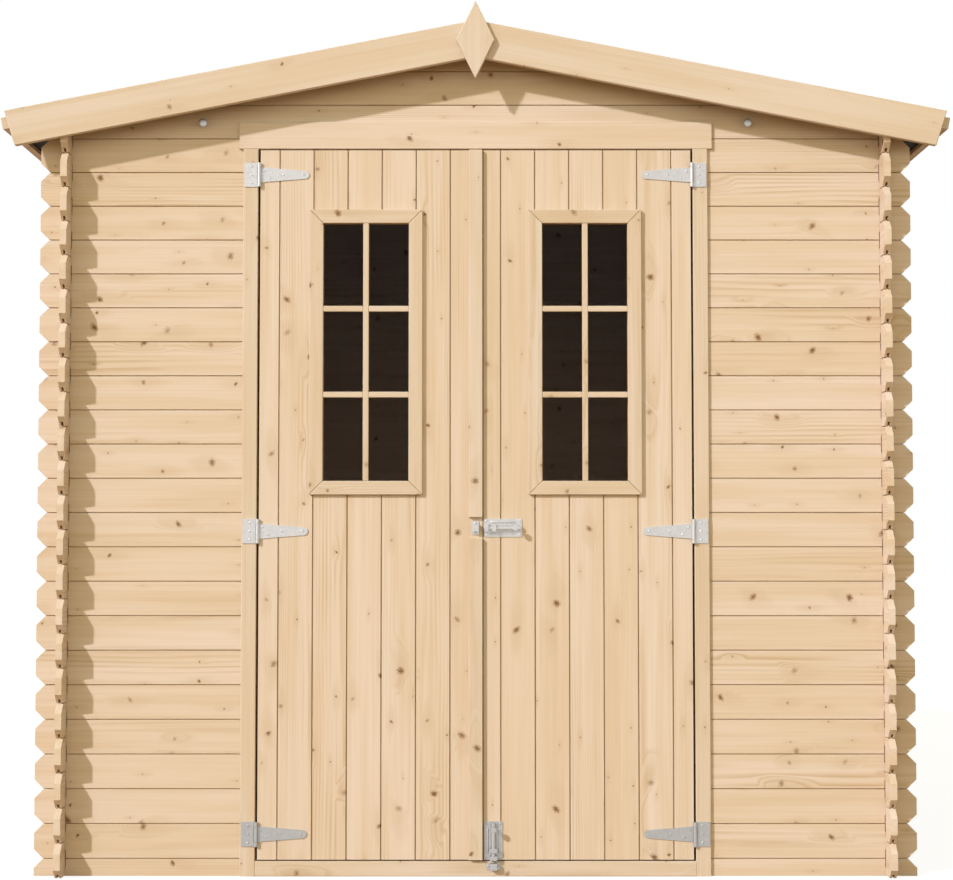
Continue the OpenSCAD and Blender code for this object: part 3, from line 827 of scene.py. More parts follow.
# %% Board stack
tree, given = new_tree("board_stack", "Boards", Board="Geometry", Count="Int", Pitch="Vector", Seed="Int",
                       Finish="Material")
board_stack = tree
courses = {"Count": given["Count"], "Offset": given["Pitch"]}
line = Node(tree, "GeometryNodeMeshLine", courses, mode="OFFSET")[0]
log_range = {0: (0, -OFF_PITH, DEEP_IN_LOG[0]), 1: (LOG_LENGTH, OFF_PITH, DEEP_IN_LOG[1]),
             "Seed": given["Seed"]}
own_log = Node(tree, "FunctionNodeRandomValue", log_range, data_type="FLOAT_VECTOR")[0]
own_tone = Node(tree, "FunctionNodeRandomValue", {"Seed": given["Seed"]}, data_type="FLOAT")[1]
copies = store(on_points(line, given["Board"]), "log", own_log, "FLOAT_VECTOR", "INSTANCE")
copies = store(copies, "board_tone", own_tone, "FLOAT", "INSTANCE")
both = {0: read(tree, "grain", "FLOAT_VECTOR"), 1: read(tree, "log", "FLOAT_VECTOR")}
in_log = Node(tree, "ShaderNodeVectorMath", both, operation="ADD")[0]
boards = store(realized(copies), "grain", in_log, "FLOAT_VECTOR", "POINT")
boards = store(boards, "tone", read(tree, "board_tone", "FLOAT"), "FLOAT", "POINT")
end_tree(boards, given["Finish"])


def stack(pile, shape, axes, count, pitch, seed):
    """Stack a board and add the stack to the pile."""
    mesh = made_by_nodes(board_stack, Pile((shape, axes)).mesh("one_board"), Count=count, Pitch=tuple(pitch),
                         Seed=seed, Finish=board_finish)
    pile.take(mesh)
    bpy.data.meshes.remove(mesh)


# %% [markdown]
# ## Fitting a piece
# Each finished mesh becomes a piece of the shed: it rides on a body and hides the
# solid whose place it takes. Its object could be moved into place, but here the
# place is in the mesh, as it is in the solids, so that the doors swing with all
# that is on them.

# %% Fitting a piece
def fit_piece(name, mesh, finish, body, slot, *nodes):
    """Make a mesh a piece of the shed on a body, and hide the CAD nodes whose place it takes."""
    mesh.materials.clear()
    mesh.materials.append(finish)
    piece = put(name, mesh)
    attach(piece, body)
    if nodes:
        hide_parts(*nodes)
    print(name, len(mesh.polygons), "faces")


def fit_pile(name, pile, finish, body, slot, *nodes):
    """Make a pile of boards a piece of the shed."""
    fit_piece(name, pile.mesh(name), finish, body, slot, *nodes)


print("fitting ready")

# %% [markdown]
# ## Front wall
# The front starts with half a board, so that its joints lie half a board off those
# of the side walls. Above the doorway the top board is cut back for the header. So
# the lowest and the top board are laid by themselves, and those between them, which
# are alike, are stacked.

# %% Front wall
header_low, header_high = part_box("door_header")
HALF_COVER = BOARD_COVER / 2
COURSE = Vector((0, 0, BOARD_COVER))
WHOLE_COURSES = round((wall_high.z - HALF_COVER) / BOARD_COVER)
CROSSINGS = {"left": (side_low.x, side_high.x), "right": (-side_high.x, -side_low.x)}


def front_axes(height):
    """Timber axes of a front board whose lower edge is at a height."""
    return axes_of(X, Z, Y, (0, wall_low.y, height))


def half_board(start, end, cuts):
    """The upper half of a wall board, with the upper ones of its cuts."""
    foot = rectangle(start - SAW_PAST, end + SAW_PAST, -SAW_PAST, HALF_COVER)
    return wall_board(start, end, *cuts[::2], foot)


def front_part(side, inward, seed):
    """The boards on one side of the doorway, from the crossing end to the door post."""
    outer, inner = inward * wall_low.x, inward * wall_high.x
    cuts = corner_cuts(outer, inward, CROSSINGS[side])
    span = sorted((outer, inner))
    pile = Pile((half_board(*span, cuts), front_axes(-HALF_COVER)))
    stack(pile, wall_board(*span, *cuts), front_axes(HALF_COVER), WHOLE_COURSES - 1, COURSE, seed)
    last_height = HALF_COVER + (WHOLE_COURSES - 1) * BOARD_COVER
    header_cut = sorted((inner + inward * SAW_PAST, -inward * header_high.x))
    lowered = rectangle(*header_cut, header_low.z - last_height, BOARD_COVER + SAW_PAST)
    pile.lay(wall_board(*span, *cuts, lowered), front_axes(last_height))
    fit_pile("front_boards_" + side, pile, board_finish, "shed", "board_wood", "front_wall_" + side)


front_part("left", 1, seed=3)
front_part("right", -1, seed=5)

# %% [markdown]
# ## Gables
# Over the doorway the boards run through from corner to corner and are sawn off
# along the roof. They can't be stacked, because each has another outline. So they
# are made one by one, all cut by the same saw, which is the roof's own shape.

# %% Gables
ROOF_SLOPE = math.radians(11)
ROOF_CUT_WIDE = 1.3
ROOF_CUT_TALL = 0.5
ridge_height = gable_high.z
GABLE_COURSES = math.ceil((ridge_height - gable_low.z) / BOARD_COVER)


def under_roof(x):
    """Height of the roof boards' underside over a place x."""
    return ridge_height - abs(x) * math.tan(ROOF_SLOPE)


def roof_cut(height):
    """Saw outline of all that lies above the roof's underside, for a board at a height."""
    wide, low, ridge = ROOF_CUT_WIDE, under_roof(ROOF_CUT_WIDE) - height, ridge_height - height
    high = ridge_height + ROOF_CUT_TALL - height
    return [(-wide, low), (0, ridge), (wide, low), (wide, high), (-wide, high)]


def lay_gable(pile, axes_at):
    """The boards of one gable, from the top of the side walls to the ridge."""
    for course in range(GABLE_COURSES):
        height = gable_low.z + course * BOARD_COVER
        board = moulding(board_section(BOARD_COVER), gable_low.x, gable_high.x)
        if course == 0:
            board = sawn(board, end_cuts(gable_low.x, 1)[1], end_cuts(gable_high.x, -1)[1],
                         *[crossing_cuts(*crossing)[1] for crossing in CROSSINGS.values()])
        pile.lay(sawn(board, roof_cut(height)), axes_at(height))


gable_pile = Pile()
lay_gable(gable_pile, front_axes)
fit_pile("gable_boards", gable_pile, board_finish, "shed", "board_wood", "front_gable")

# %% [markdown]
# ## Back wall
# The back isn't seen in the photograph. It is taken as the front without a doorway
# and made by the same helpers. Its gable goes into the same pile, because the solid
# there is one.

# %% Back wall
back_low, back_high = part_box("back_wall")


def back_axes(height):
    """Timber axes of a back board: its depth runs towards the front."""
    return axes_of(X, Z, -Y, (0, back_high.y, height))


back_span = (back_low.x, back_high.x)
back_cuts = corner_cuts(back_low.x, 1, CROSSINGS["left"]) + corner_cuts(back_high.x, -1, CROSSINGS["right"])
back_pile = Pile((half_board(*back_span, back_cuts), back_axes(-HALF_COVER)))
stack(back_pile, wall_board(*back_span, *back_cuts), back_axes(HALF_COVER), WHOLE_COURSES, COURSE, seed=7)
lay_gable(back_pile, back_axes)
fit_pile("back_boards", back_pile, board_finish, "shed", "board_wood", "back_wall")

# %% [markdown]
# ## Side walls
# The side walls start with a whole board, and their ends show as a column of small
# octagons at each corner. All their boards are alike, so one stack makes a wall. The
# second could be the first one mirrored, but then its wood would repeat.

# %% Side walls
SIDE_COURSES = int(side_high.z / BOARD_COVER)
side_cuts = (corner_cuts(side_low.y, 1, (wall_low.y, wall_high.y))
             + corner_cuts(side_high.y, -1, (back_low.y, back_high.y)))
for side, inward, seed in (("left", 1, 11), ("right", -1, 13)):
    side_pile = Pile()
    side_axes = axes_of(Y, Z, X * inward, (inward * side_low.x, 0, 0))
    stack(side_pile, wall_board(side_low.y, side_high.y, *side_cuts), side_axes, SIDE_COURSES, COURSE, seed)
    fit_pile("side_boards_" + side, side_pile, board_finish, "shed", "board_wood", side + "_wall")

# %% [markdown]
# ## Door frame
# The posts and the header are grooved timbers that hold the ends of the wall
# boards. They stand a little proud of the wall and are planed smoother than it.
# One section with a groove serves all three, run upright or level.

# %% Posts, header and sill
FRAME_EASE = 0.0015
GROOVE_PLAY = 0.0005
SIDES = (("left", -1), ("right", 1))
UPRIGHT = axes_of(Z, X, Y)
LEVEL = axes_of(X, Z, Y)


def eased(section, ease):
    """A section (across, deep) with every corner cut off a little."""
    cut = []
    for here, corner in enumerate(section):
        corner = Vector(corner)
        for other in (section[here - 1], section[(here + 1) % len(section)]):
            cut.append(tuple(corner + (Vector(other) - corner).normalized() * ease))
    return cut


def grooved(inner, outer, bottom, face, back):
    """A section from its inner to its outer edge, with a groove down to bottom in the outer edge."""
    ease = math.copysign(FRAME_EASE, outer - inner)
    groove_from, groove_to = wall_low.y - GROOVE_PLAY, wall_high.y + GROOVE_PLAY
    return [(inner, face + FRAME_EASE), (inner + ease, face), (outer - ease, face),
            (outer, face + FRAME_EASE), (outer, groove_from), (bottom, groove_from), (bottom, groove_to),
            (outer, groove_to), (outer, back), (inner, back)]


for side, sign in SIDES:
    low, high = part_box("door_post_" + side)
    bottom = -sign * (wall_high.x + GROOVE_PLAY)
    section = grooved(*(low.x, high.x)[::sign], bottom, low.y, high.y)
    post = Pile((moulding(section, low.z, high.z), UPRIGHT))
    fit_pile("post_" + side, post, trim_finish, "shed", "frame_wood", "door_post_" + side)

header_section = grooved(header_low.z, header_high.z, gable_low.z - GROOVE_PLAY, header_low.y, header_high.y)
header = Pile((moulding(header_section, header_low.x, header_high.x), LEVEL))
fit_pile("header", header, beam_finish, "shed", "frame_wood", "door_header")
sill_low, sill_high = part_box("door_sill")
sill_section = eased(rectangle(sill_low.z, sill_high.z, sill_low.y, sill_high.y), FRAME_EASE)
sill = Pile((moulding(sill_section, sill_low.x, sill_high.x), LEVEL))
fit_pile("sill", sill, trim_finish, "shed", "frame_wood", "door_sill")

# %% [markdown]
# ## Door leaves
# Each leaf is made of the same boards, upright. They start from the hinge edge with
# a narrow one, and the window hole is sawn through them. Because every board is cut
# differently, they are made one by one.

# %% Leaf boards
FIRST_BOARD = 0.047
LEAF_JOINT = 0.0026
PANE_PLAY = 0.001


def leaf(side, sign):
    """The upright boards of one leaf; sign is -1 on the left and 1 on the right."""
    low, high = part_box(side + "_door_boards")
    pane_low, pane_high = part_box(side + "_window_glass")
    hinge = low.x if sign < 0 else high.x
    tall = (low.z - SAW_PAST, high.z + SAW_PAST)
    reach = BOARD_COVER + SAW_PAST
    pile = Pile()
    for number in range(math.ceil((high.x - low.x - FIRST_BOARD) / BOARD_COVER) + 1):
        edge = hinge - sign * (FIRST_BOARD + (number - 1) * BOARD_COVER)
        start = edge if sign < 0 else edge - BOARD_COVER
        hole = rectangle(pane_low.z - PANE_PLAY, pane_high.z + PANE_PLAY,
                         pane_low.x - PANE_PLAY - start, pane_high.x + PANE_PLAY - start)
        board = sawn(moulding(board_section(BOARD_COVER, LEAF_JOINT), low.z, high.z), hole,
                     rectangle(*tall, low.x - start - reach, low.x - start),
                     rectangle(*tall, high.x - start, high.x - start + reach))
        pile.lay(board, axes_of(Z, X, Y, (start, low.y, 0)))
    fit_pile("leaf_boards_" + side, pile, board_finish, side + "_door", "board_wood", side + "_door_boards")


for side, sign in SIDES:
    leaf(side, sign)

# %% [markdown]
# ## Windows
# A mitred trim frames each window on the face of the leaf. Behind it sit the pane
# and its beads, and three slender bars stand in front of the pane: one upright and
# two level ones, which divide it into six. A frame could be one flat ring, but its
# grain would run one way and its mitres wouldn't show. So each rail is a plank: an
# outline with a thickness and eased edges.

# %% Planks
PLANK_EASE = 0.0012


def plank(outline, deep_from, deep_to, ease=PLANK_EASE):
    """An outline (along, across) with a thickness and eased edges."""
    shape = skin(at_depth(outline, deep_from), at_depth(outline, deep_to))
    bmesh.ops.bevel(shape, geom=shape.edges[:], offset=ease, segments=1, affect="EDGES")
    return shape


def block(start, end, low, high, deep_from, deep_to):
    """A plank with square ends."""
    return plank(rectangle(start, end, low, high), deep_from, deep_to)


print("planks are eased by", PLANK_EASE, "m")

# %% Window frames
MITRE_GAP = 0.0004
PANE_LAP = 0.009
BAR_WIDTH = 0.0138
BAR_THICK = 0.009
BAR_SHARES = (1 / 3, 2 / 3)


def ring_of_rails(pile, outer, inner, deep_from, deep_to):
    """Four mitred rails; outer and inner are (x low, x high, z low, z high)."""
    for axes, edges, low, high in ((UPRIGHT, (0, 1), 2, 3), (LEVEL, (2, 3), 0, 1)):
        for edge in edges:
            rail = [(outer[low] + MITRE_GAP, outer[edge]), (outer[high] - MITRE_GAP, outer[edge]),
                    (inner[high] - MITRE_GAP, inner[edge]), (inner[low] + MITRE_GAP, inner[edge])]
            pile.lay(plank(rail, deep_from, deep_to), axes)


def window(side):
    """Trim, beads and bars of one window, and its pane's finish."""
    low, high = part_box(side + "_window_frame")
    pane_low, pane_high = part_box(side + "_window_glass")
    leaf_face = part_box(side + "_door_boards")[0].y
    left, right, foot, top = opening = (pane_low.x + PANE_LAP, pane_high.x - PANE_LAP,
                                        pane_low.z + PANE_LAP, pane_high.z - PANE_LAP)
    pile = Pile()
    ring_of_rails(pile, (low.x, high.x, low.z, high.z), opening, low.y, leaf_face)
    ring_of_rails(pile, (pane_low.x, pane_high.x, pane_low.z, pane_high.z), opening, pane_high.y, high.y)
    middle, half = (left + right) / 2, BAR_WIDTH / 2
    deep = (pane_low.y - BAR_THICK, pane_low.y)
    pile.lay(block(foot, top, middle - half, middle + half, *deep), UPRIGHT)
    for share in BAR_SHARES:
        height = top + (foot - top) * share
        for start, end in ((left, middle - half), (middle + half, right)):
            pile.lay(block(start, end, height - half, height + half, *deep), LEVEL)
    fit_pile("window_" + side, pile, trim_finish, side + "_door", "trim_wood", side + "_window_frame")
    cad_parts[side + "_window_glass"].data.materials[0] = pane_finish


window("left")
window("right")

# %% [markdown]
# ## Strip and ledges
# The cover strip is nailed on the meeting edge of the left leaf, and it is broken
# where the latch crosses it. Inside, three ledges hold each leaf. Their heights
# could be written down again, but a solid's corners tell where each of its blocks
# starts and ends, so they are read from it.

# %% Strip and ledges
def spans(node, axis):
    """From where to where each block of a node reaches along x (0), y (1) or z (2)."""
    edges = sorted({round(point.co[axis], 4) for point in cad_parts[node].data.vertices})
    return list(zip(edges[::2], edges[1::2]))


low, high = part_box("meeting_strip")
strip = Pile()
for foot, top in spans("meeting_strip", 2):
    strip.lay(block(foot, top, low.x, high.x, low.y, high.y), UPRIGHT)
fit_pile("cover_strip", strip, trim_finish, "left_door", "trim_wood", "meeting_strip")
for side, _ in SIDES:
    node = side + "_door_ledges"
    low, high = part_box(node)
    ledges = Pile()
    for foot, top in spans(node, 2):
        ledges.lay(block(low.x, high.x, foot, top, low.y, high.y), LEVEL)
    fit_pile("leaf_ledges_" + side, ledges, beam_finish, side + "_door", "frame_wood", node)

# %% [markdown]
# ## Roof boards
# The roof boards run from the ridge to the eaves, side by side, with their faces
# down. Their underside is dark in the photograph, so the boards are coloured near
# black: painted shade for the deep shade under the eaves. They could be stacked
# flat and turned, but here each slope has its own two directions, down the slope
# and square out of it, and the boards are laid along them.

# %% Roof boards
roof_low, roof_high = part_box("roof_right")
ROOF_COURSES = 26
RIDGE_GAP = 0.0005
SLOPE_PLAY = 0.0001
roof_cover = (roof_high.y - roof_low.y) / ROOF_COURSES
slope_sine, slope_cosine = math.sin(ROOF_SLOPE), math.cos(ROOF_SLOPE)
eave_run = (roof_high.x - slope_sine * BOARD_THICK) / slope_cosine
SLOPES = {side: (Vector((sign * slope_cosine, 0, -slope_sine)), Vector((sign * slope_sine, 0, slope_cosine)))
          for side, sign in (("right", 1), ("left", -1))}


def roof_slope_boards(side, seed):
    """The boards of one slope, and a last one without its tongue."""
    down, up = SLOPES[side]
    base = Vector((0, roof_low.y, ridge_height)) + up * SLOPE_PLAY
    last = Vector((0, roof_cover * (ROOF_COURSES - 1), 0))
    section = board_section(roof_cover)
    pile = Pile()
    stack(pile, moulding(section, RIDGE_GAP, eave_run), axes_of(down, Y, up, base), ROOF_COURSES - 1,
          (0, roof_cover, 0), seed)
    tongue = rectangle(-SAW_PAST, eave_run + SAW_PAST, roof_cover, roof_cover + SAW_PAST)
    pile.lay(sawn(moulding(section, RIDGE_GAP, eave_run), tongue), axes_of(down, Y, up, base + last))
    fit_pile("roof_boards_" + side, pile, roof_shade_finish, "shed", "frame_wood", "roof_" + side)


roof_slope_boards("right", 17)
roof_slope_boards("left", 19)

# %% [markdown]
# ## Felt
# Felt lies on the boards in overlapping sheets: a lower one on each slope, an upper
# one lapping over it, and a cap over the ridge. One folded sheet could cover all,
# but the laps would be lost. So each sheet is its own thin section, run from the
# front to the back.

# %% Felt sheets
felt_low, felt_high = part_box("roof_felt")
SHEET_THICK = 0.0009
SHEET_LAP = 0.08
SHEET_RIDGE_GAP = 0.001
LOWER_SHARE = 0.56
CAP_REACH = 0.14
CAP_LIFTS = (SHEET_THICK * 1.05, SHEET_THICK * 1.3)
CAP_RISE = 0.0004
felt_base = Vector((0, 0, ridge_height)) + Z * (2 * SLOPE_PLAY + BOARD_THICK) / slope_cosine
felt_run = (felt_high.x - slope_sine * (BOARD_THICK + SHEET_THICK)) / slope_cosine
felt_lap = felt_run * (1 - LOWER_SHARE)


def sheet_points(run_from, run_to, lift_from, lift_to, down, up):
    """Four corners of a felt sheet's section on one slope, as points in x and z."""
    places = ((run_from, lift_from), (run_to, lift_to), (run_to, lift_to + SHEET_THICK),
              (run_from, lift_from + SHEET_THICK))
    return [felt_base + down * run + up * lift for run, lift in places]


def sheet(points):
    """A closed sheet from its section, run from the front to the back."""
    return skin(*[[(point.x, y, point.z) for point in points] for y in (felt_low.y, felt_high.y)])


sheets = []
for slope in SLOPES.values():
    sheets.append(sheet(sheet_points(felt_lap, felt_run, 0, 0, *slope)))
    sheets.append(sheet(sheet_points(SHEET_RIDGE_GAP, felt_lap + SHEET_LAP, 0.0, SHEET_THICK, *slope)))
cap_right = sheet_points(0, CAP_REACH, *CAP_LIFTS, *SLOPES["right"])
cap_left = [Vector((-point.x, 0, point.z)) for point in cap_right]
cap_foot, cap_top = Vector((0, 0, cap_right[0].z)), Vector((0, 0, cap_right[3].z + CAP_RISE))
sheets.append(sheet([cap_left[1], cap_foot, cap_right[1], cap_right[2], cap_top, cap_left[2]]))
fit_piece("felt_sheets", joined("felt_sheets", *sheets), felt_finish, "shed", "felt", "roof_felt")

# %% [markdown]
# ## Purlins
# Three purlins run from gable to gable under the roof boards. Plain boxes would
# leave a wedge of air under the boards. The tops follow the slope, so each purlin is
# a section run lengthwise.

# %% Purlins
LENGTHWISE = axes_of(Y, X, Z)
ridge_low, ridge_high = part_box("ridge_purlin")
ridge_section = [(ridge_low.x, ridge_low.z), (ridge_high.x, ridge_low.z),
                 (ridge_high.x, under_roof(ridge_high.x)), (0, ridge_height),
                 (ridge_low.x, under_roof(ridge_low.x))]
ridge_pile = Pile((moulding(ridge_section, ridge_low.y, ridge_high.y), LENGTHWISE))
fit_pile("ridge_beam", ridge_pile, beam_finish, "shed", "frame_wood", "ridge_purlin")

purlin_low, purlin_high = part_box("side_purlins")
PURLIN_WIDTH = ridge_high.x - ridge_low.x
side_pile = Pile()
for sign in (-1, 1):
    outer, inner = sign * purlin_high.x, sign * (purlin_high.x - PURLIN_WIDTH)
    section = [(inner, purlin_low.z), (outer, purlin_low.z), (outer, under_roof(outer)),
               (inner, under_roof(inner))]
    side_pile.lay(moulding(section, purlin_low.y, purlin_high.y), LENGTHWISE)
fit_pile("side_beams", side_pile, beam_finish, "shed", "frame_wood", "side_purlins")

# %% [markdown]
# ## Eave strips
# A strip is nailed to the ends of the roof boards along each eave, square to them.
# It could be a box that is turned afterwards. Drawn in the slope's own directions,
# it needs no turning.

# %% Eave strips
EAVE_STRIP_THICK = 0.016
EAVE_STRIP_TALL = 0.028
EAVE_STRIP_EASE = 0.001


def eave_strip(side):
    """The strip along one eave."""
    node = "eave_strip_" + side
    low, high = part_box(node)
    lift = BOARD_THICK + SLOPE_PLAY
    run = eave_run + SLOPE_PLAY
    section = eased(rectangle(run, run + EAVE_STRIP_THICK, lift - EAVE_STRIP_TALL, lift), EAVE_STRIP_EASE)
    down, up = SLOPES[side]
    strip = moulding(section, low.y, high.y), axes_of(Y, down, up, (0, 0, ridge_height))
    fit_pile("eave_trim_" + side, Pile(strip), trim_finish, "shed", "trim_wood", node)


eave_strip("right")
eave_strip("left")

# %% [markdown]
# ## Bargeboards and finials
# Two bargeboards meet on each gable in a plumb joint, and their lower ends are cut
# back. A diamond hides the joint. A scaled box could have none of these cuts, so all
# are planks with an outline of their own.

# %% Bargeboards and finials
BARGE_WIDTH = 0.087
BARGE_END_CUT = math.radians(16.5)
BARGE_EASE = 0.0016
MITRE_OPEN = 0.0003


def bargeboard(gable_end, side, sign):
    """A bargeboard with a plumb cut at the ridge and its lower end cut back."""
    place = gable_end + "_" + side
    node = "bargeboard_" + place
    low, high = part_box(node)
    down, up = SLOPES[side]
    upright = BARGE_WIDTH / slope_cosine
    end_x = sign * max(abs(low.x), abs(high.x))
    foot_x = end_x - sign * upright * math.tan(BARGE_END_CUT)
    corners = ((sign * MITRE_OPEN, 0), (end_x, -abs(end_x) * math.tan(ROOF_SLOPE)),
               (foot_x, -upright - abs(foot_x) * math.tan(ROOF_SLOPE)), (sign * MITRE_OPEN, -upright))
    outline = [(x * down.x + z * down.z, x * up.x + z * up.z) for x, z in corners]
    board = plank(outline, low.y, high.y, BARGE_EASE), axes_of(down, up, Y, (0, 0, high.z))
    fit_pile("verge_board_" + place, Pile(board), trim_finish, "shed", "trim_wood", node)


def finial(place):
    """The diamond on one gable's peak."""
    low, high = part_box("finial_" + place)
    middle = (low.z + high.z) / 2
    diamond = [(low.z, 0), (middle, high.x), (high.z, 0), (middle, low.x)]
    board = plank(diamond, low.y, high.y, BARGE_EASE), UPRIGHT
    fit_pile("diamond_" + place, Pile(board), trim_finish, "shed", "trim_wood", "finial_" + place)


for gable_end in ("front", "back"):
    for side, sign in SIDES:
        bargeboard(gable_end, side, sign)
for gable_end in ("front", "back"):
    finial(gable_end)

# %% [markdown]
# ## Floor and bearers
# The floor is the wall's board laid flat on three bearers. It could be one sheet,
# but its joints show through the open door, so the boards are stacked like a wall.

# %% Floor and bearers
floor_low, floor_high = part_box("floor")
FLOOR_COURSES = 23
floor_cover = (floor_high.y - floor_low.y - TONGUE_REACH) / FLOOR_COURSES
floor_pile = Pile()
stack(floor_pile, moulding(board_section(floor_cover), floor_low.x, floor_high.x),
      axes_of(X, Y, -Z, (0, floor_low.y, floor_high.z)), FLOOR_COURSES, (0, floor_cover, 0), 23)
fit_pile("floor_boards", floor_pile, board_finish, "shed", "board_wood", "floor")

bearer_low, bearer_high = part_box("floor_bearers")
bearer_pile = Pile()
for front, back in spans("floor_bearers", 1):
    bearer = block(bearer_low.x, bearer_high.x, front, back, bearer_low.z, bearer_high.z)
    bearer_pile.lay(bearer, axes_of(X, Y, Z))
fit_pile("bearers", bearer_pile, beam_finish, "shed", "frame_wood", "floor_bearers")

# %% [markdown]
# ## Fittings
# The hinges, bolts and keepers are plain pressed steel. They could be modelled
# again, but the solids already have their shape, so they keep it and get the zinc.

# %% Zinc on the solids
BRIGHT = ("hinge_plates", "left_hinge_straps", "right_hinge_straps", "latch_keeper", "latch_plate",
          "latch_rod", "latch_handle")
DULL = ("foot_bolt_plate", "sill_keeper", "foot_bolt_rod", "foot_bolt_handle")
for names, plating in ((BRIGHT, zinc_finish), (DULL, dull_finish)):
    for node_name in names:
        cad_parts[node_name].data.materials[0] = plating
print("zinc on", len(BRIGHT) + len(DULL), "nodes")

# %% [markdown]
# ## Screws
# Every plate has screws with a cross recess, all alike but each driven to an angle
# of its own. They could be copied by hand, but Geometry Nodes do it in one go: they
# make one head, a flattened ball with a cross cut out of it, and put it on every
# place with a random turn.

# %% Screw tree
HEAD_SEGMENTS = 16
HEAD_RINGS = 8
RECESS_LONG = 1.24
RECESS_LIFT = 0.95

tree, given = new_tree("screw_heads", "Screws", Places="Geometry", Radius="Float", Height="Float",
                       Recess="Float", Seed="Int", Finish="Material")
screw_heads = tree
radius, height, recess = given["Radius"], given["Height"], given["Recess"]


def moved(geometry, **how):
    """Geometry moved, turned or scaled."""
    return Node(geometry.tree, "GeometryNodeTransform", {"Geometry": geometry, **how})[0]


ball_size = {"Segments": HEAD_SEGMENTS, "Rings": HEAD_RINGS, "Radius": radius}
ball = Node(tree, "GeometryNodeMeshUVSphere", ball_size)[0]
cross = Node(tree, "GeometryNodeJoinGeometry")
cross_long = radius * RECESS_LONG
for wide, tall in ((cross_long, recess), (recess, cross_long)):
    bit = Node(tree, "GeometryNodeMeshCube", {"Size": vector(wide, tall, height)})[0]
    connect(cross.made.inputs[0], moved(bit, Translation=vector(0.0, 0.0, height * RECESS_LIFT)))
cut = {"Mesh 1": moved(ball, Scale=vector(1.0, 1.0, height / radius)), "Mesh 2": cross[0],
       "Self Intersection": True}
head = Node(tree, "GeometryNodeMeshBoolean", cut, operation="DIFFERENCE", solver="EXACT")[0]
head = moved(head, Rotation=(math.pi / 2, 0, 0))
turn_range = {2: 0, 3: math.pi, "Seed": given["Seed"]}
driven = Node(tree, "FunctionNodeRandomValue", turn_range, data_type="FLOAT")[1]
heads = on_points(given["Places"], head, Rotation=vector(0.0, driven, 0.0))
end_tree(realized(heads), given["Finish"])

# %% Screw places
SCREW_SIZES = {"Radius": 0.003, "Height": 0.0012, "Recess": 0.0009}
PLATE_THICK = 0.002
HINGE_THICK = 0.0025
SCREW_INSET = 0.0048
STRAP_SCREWS = ((0.13, 0.0095), (0.24, -0.0075), (0.5, 0), (0.89, 0))
POST_SCREW_STEPS = (-0.02, 0, 0.02)
POST_SCREW_IN = 0.017

strap_low, strap_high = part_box("right_hinge_straps")
post_screw_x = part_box("hinge_plates")[1].x - POST_SCREW_IN
hinge_heights = [(foot + top) / 2 for foot, top in spans("right_door_ledges", 2)]
leaf_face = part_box("right_door_boards")[0].y


def along_edge(low, high, count):
    """One place in the middle of an edge, or two a little inside its ends."""
    return ((low + high) / 2,) if count == 1 else (low + SCREW_INSET, high - SCREW_INSET)


def plate_places(node, columns, rows):
    """Places on a plate, in columns and rows."""
    low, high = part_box(node)
    return [(x, leaf_face - PLATE_THICK, z) for x in along_edge(low.x, high.x, columns)
            for z in along_edge(low.z, high.z, rows)]


def strap_places(sign):
    """Places along each strap of one leaf; sign is -1 on the left and 1 on the right."""
    reach = strap_high.x - strap_low.x
    return [(sign * (strap_high.x - share * reach), leaf_face - HINGE_THICK, height + up)
            for height in hinge_heights for share, up in STRAP_SCREWS]


post_places = [(sign * post_screw_x, leaf_face - HINGE_THICK, height + step)
               for sign in (-1, 1) for height in hinge_heights for step in POST_SCREW_STEPS]
screw_sets = {
    "shed": post_places + plate_places("sill_keeper", 2, 1),
    "left_door": strap_places(-1) + plate_places("latch_keeper", 1, 2),
    "right_door": strap_places(1) + plate_places("latch_plate", 2, 2) + plate_places("foot_bolt_plate", 2, 2),
}
for seed, (body_name, places) in enumerate(screw_sets.items()):
    spots = bpy.data.meshes.new("screw_places")
    spots.from_pydata(places, [], [])
    screws = made_by_nodes(screw_heads, spots, Seed=seed, Finish=zinc_finish, **SCREW_SIZES)
    fit_piece("screws_" + body_name, screws, zinc_finish, body_name, "zinc")

# %% [markdown]
# ## Ribs of the bolt plates
# Two ribs are pressed out of each bolt's plate to stiffen it. A bump in the finish
# would look flat from the side. They are half round and taper at both ends, so each
# is a skin over a row of arcs of different fullness.

# %% Ribs of the bolt plates
RIB_INSET = 0.014
RIB_EDGE_INSET = 0.0077
RIB_WIDE = 0.0052
RIB_HIGH = 0.0018
RIB_STEPS = 6
RIB_ENDS = ((0.0, 0.05), (0.4, 0.7), (1.0, 1.0))
RIB_SUNK = 0.95


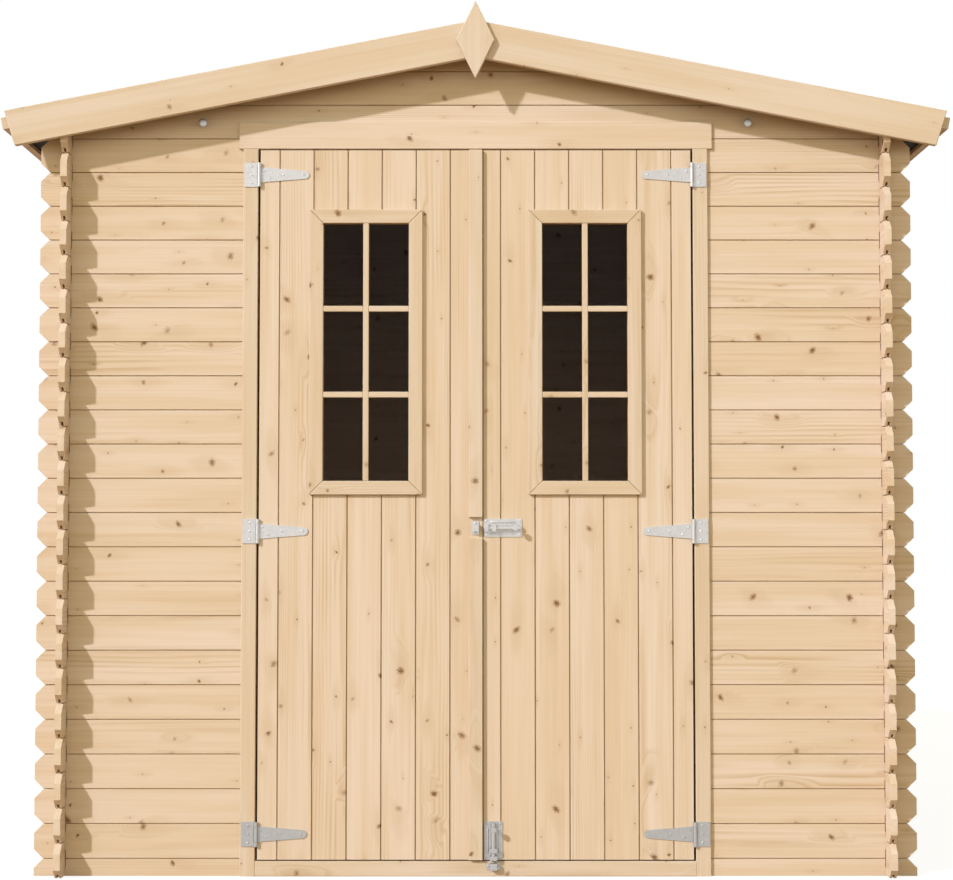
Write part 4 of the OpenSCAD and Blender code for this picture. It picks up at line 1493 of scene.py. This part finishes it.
def rib(start, end, across, along_x):
    """A half-round rib with tapering ends, pressed out of a plate."""
    stations = [(start + RIB_WIDE * share, fullness) for share, fullness in RIB_ENDS]
    stations += [(end - RIB_WIDE * share, fullness) for share, fullness in RIB_ENDS[::-1]]
    rows = []
    for along, fullness in stations:
        row = []
        for step in range(RIB_STEPS + 1):
            angle = math.pi * step / RIB_STEPS
            aside = across + math.cos(angle) * RIB_WIDE / 2 * fullness
            out = leaf_face - PLATE_THICK * RIB_SUNK - math.sin(angle) * RIB_HIGH * fullness
            row.append((along, out, aside) if along_x else (aside, out, along))
        rows.append(row)
    shape = skin(*rows)
    for face in shape.faces:
        face.smooth = True
    return shape


def plate_ribs(name, node, along_x, plating):
    """The two ribs of one bolt's plate."""
    low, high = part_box(node)
    across_x, across_z = (low.x, high.x), (low.z, high.z)
    (start, end), (near, far) = (across_x, across_z) if along_x else (across_z, across_x)
    ribs = [rib(start + RIB_INSET, end - RIB_INSET, across, along_x)
            for across in (near + RIB_EDGE_INSET, far - RIB_EDGE_INSET)]
    fit_piece(name, joined(name, *ribs), plating, "right_door", "zinc")


plate_ribs("latch_ribs", "latch_plate", True, zinc_finish)
plate_ribs("foot_bolt_ribs", "foot_bolt_plate", False, dull_finish)

# %% [markdown]
# ## Gable bolts
# A round-headed bolt on each side of the gable holds the end of a purlin. The head
# stands off the wall on its shank, over a washer. Three cylinders could do, but a
# profile that is turned round an axis, as on a lathe, rounds the head too.

# %% Gable bolts
BOLT_HEIGHT = 1.800
BOLT_TIP = 0.0205
BOLT_PROFILE = ((0.0045, 0.0202), (0.008, 0.019), (0.0098, 0.0168), (0.0102, 0.0148), (0.0098, 0.0138),
                (0.0052, 0.0138), (0.0052, 0.0022), (0.0084, 0.002), (0.0088, 0.0014), (0.0088, 0.0))
BOLT_SEGMENTS = 24


def turned(profile, place, out):
    """A profile (radius, reach) turned round an axis that stands out from a place."""
    around = [2 * math.pi * step / BOLT_SEGMENTS for step in range(BOLT_SEGMENTS)]
    rings = [[place + out * reach + (X * math.cos(angle) + Z * math.sin(angle)) * radius for angle in around]
             for radius, reach in profile]
    return skin([place + out * BOLT_TIP], *rings)


purlin_middle = purlin_high.x - PURLIN_WIDTH / 2
bolts = [turned(BOLT_PROFILE, Vector((sign * purlin_middle, wall_y, BOLT_HEIGHT)), out)
         for sign in (-1, 1) for wall_y, out in ((wall_low.y, -Y), (back_high.y, Y))]
fit_piece("gable_bolts", joined("gable_bolts", *bolts), zinc_finish, "shed", "zinc")
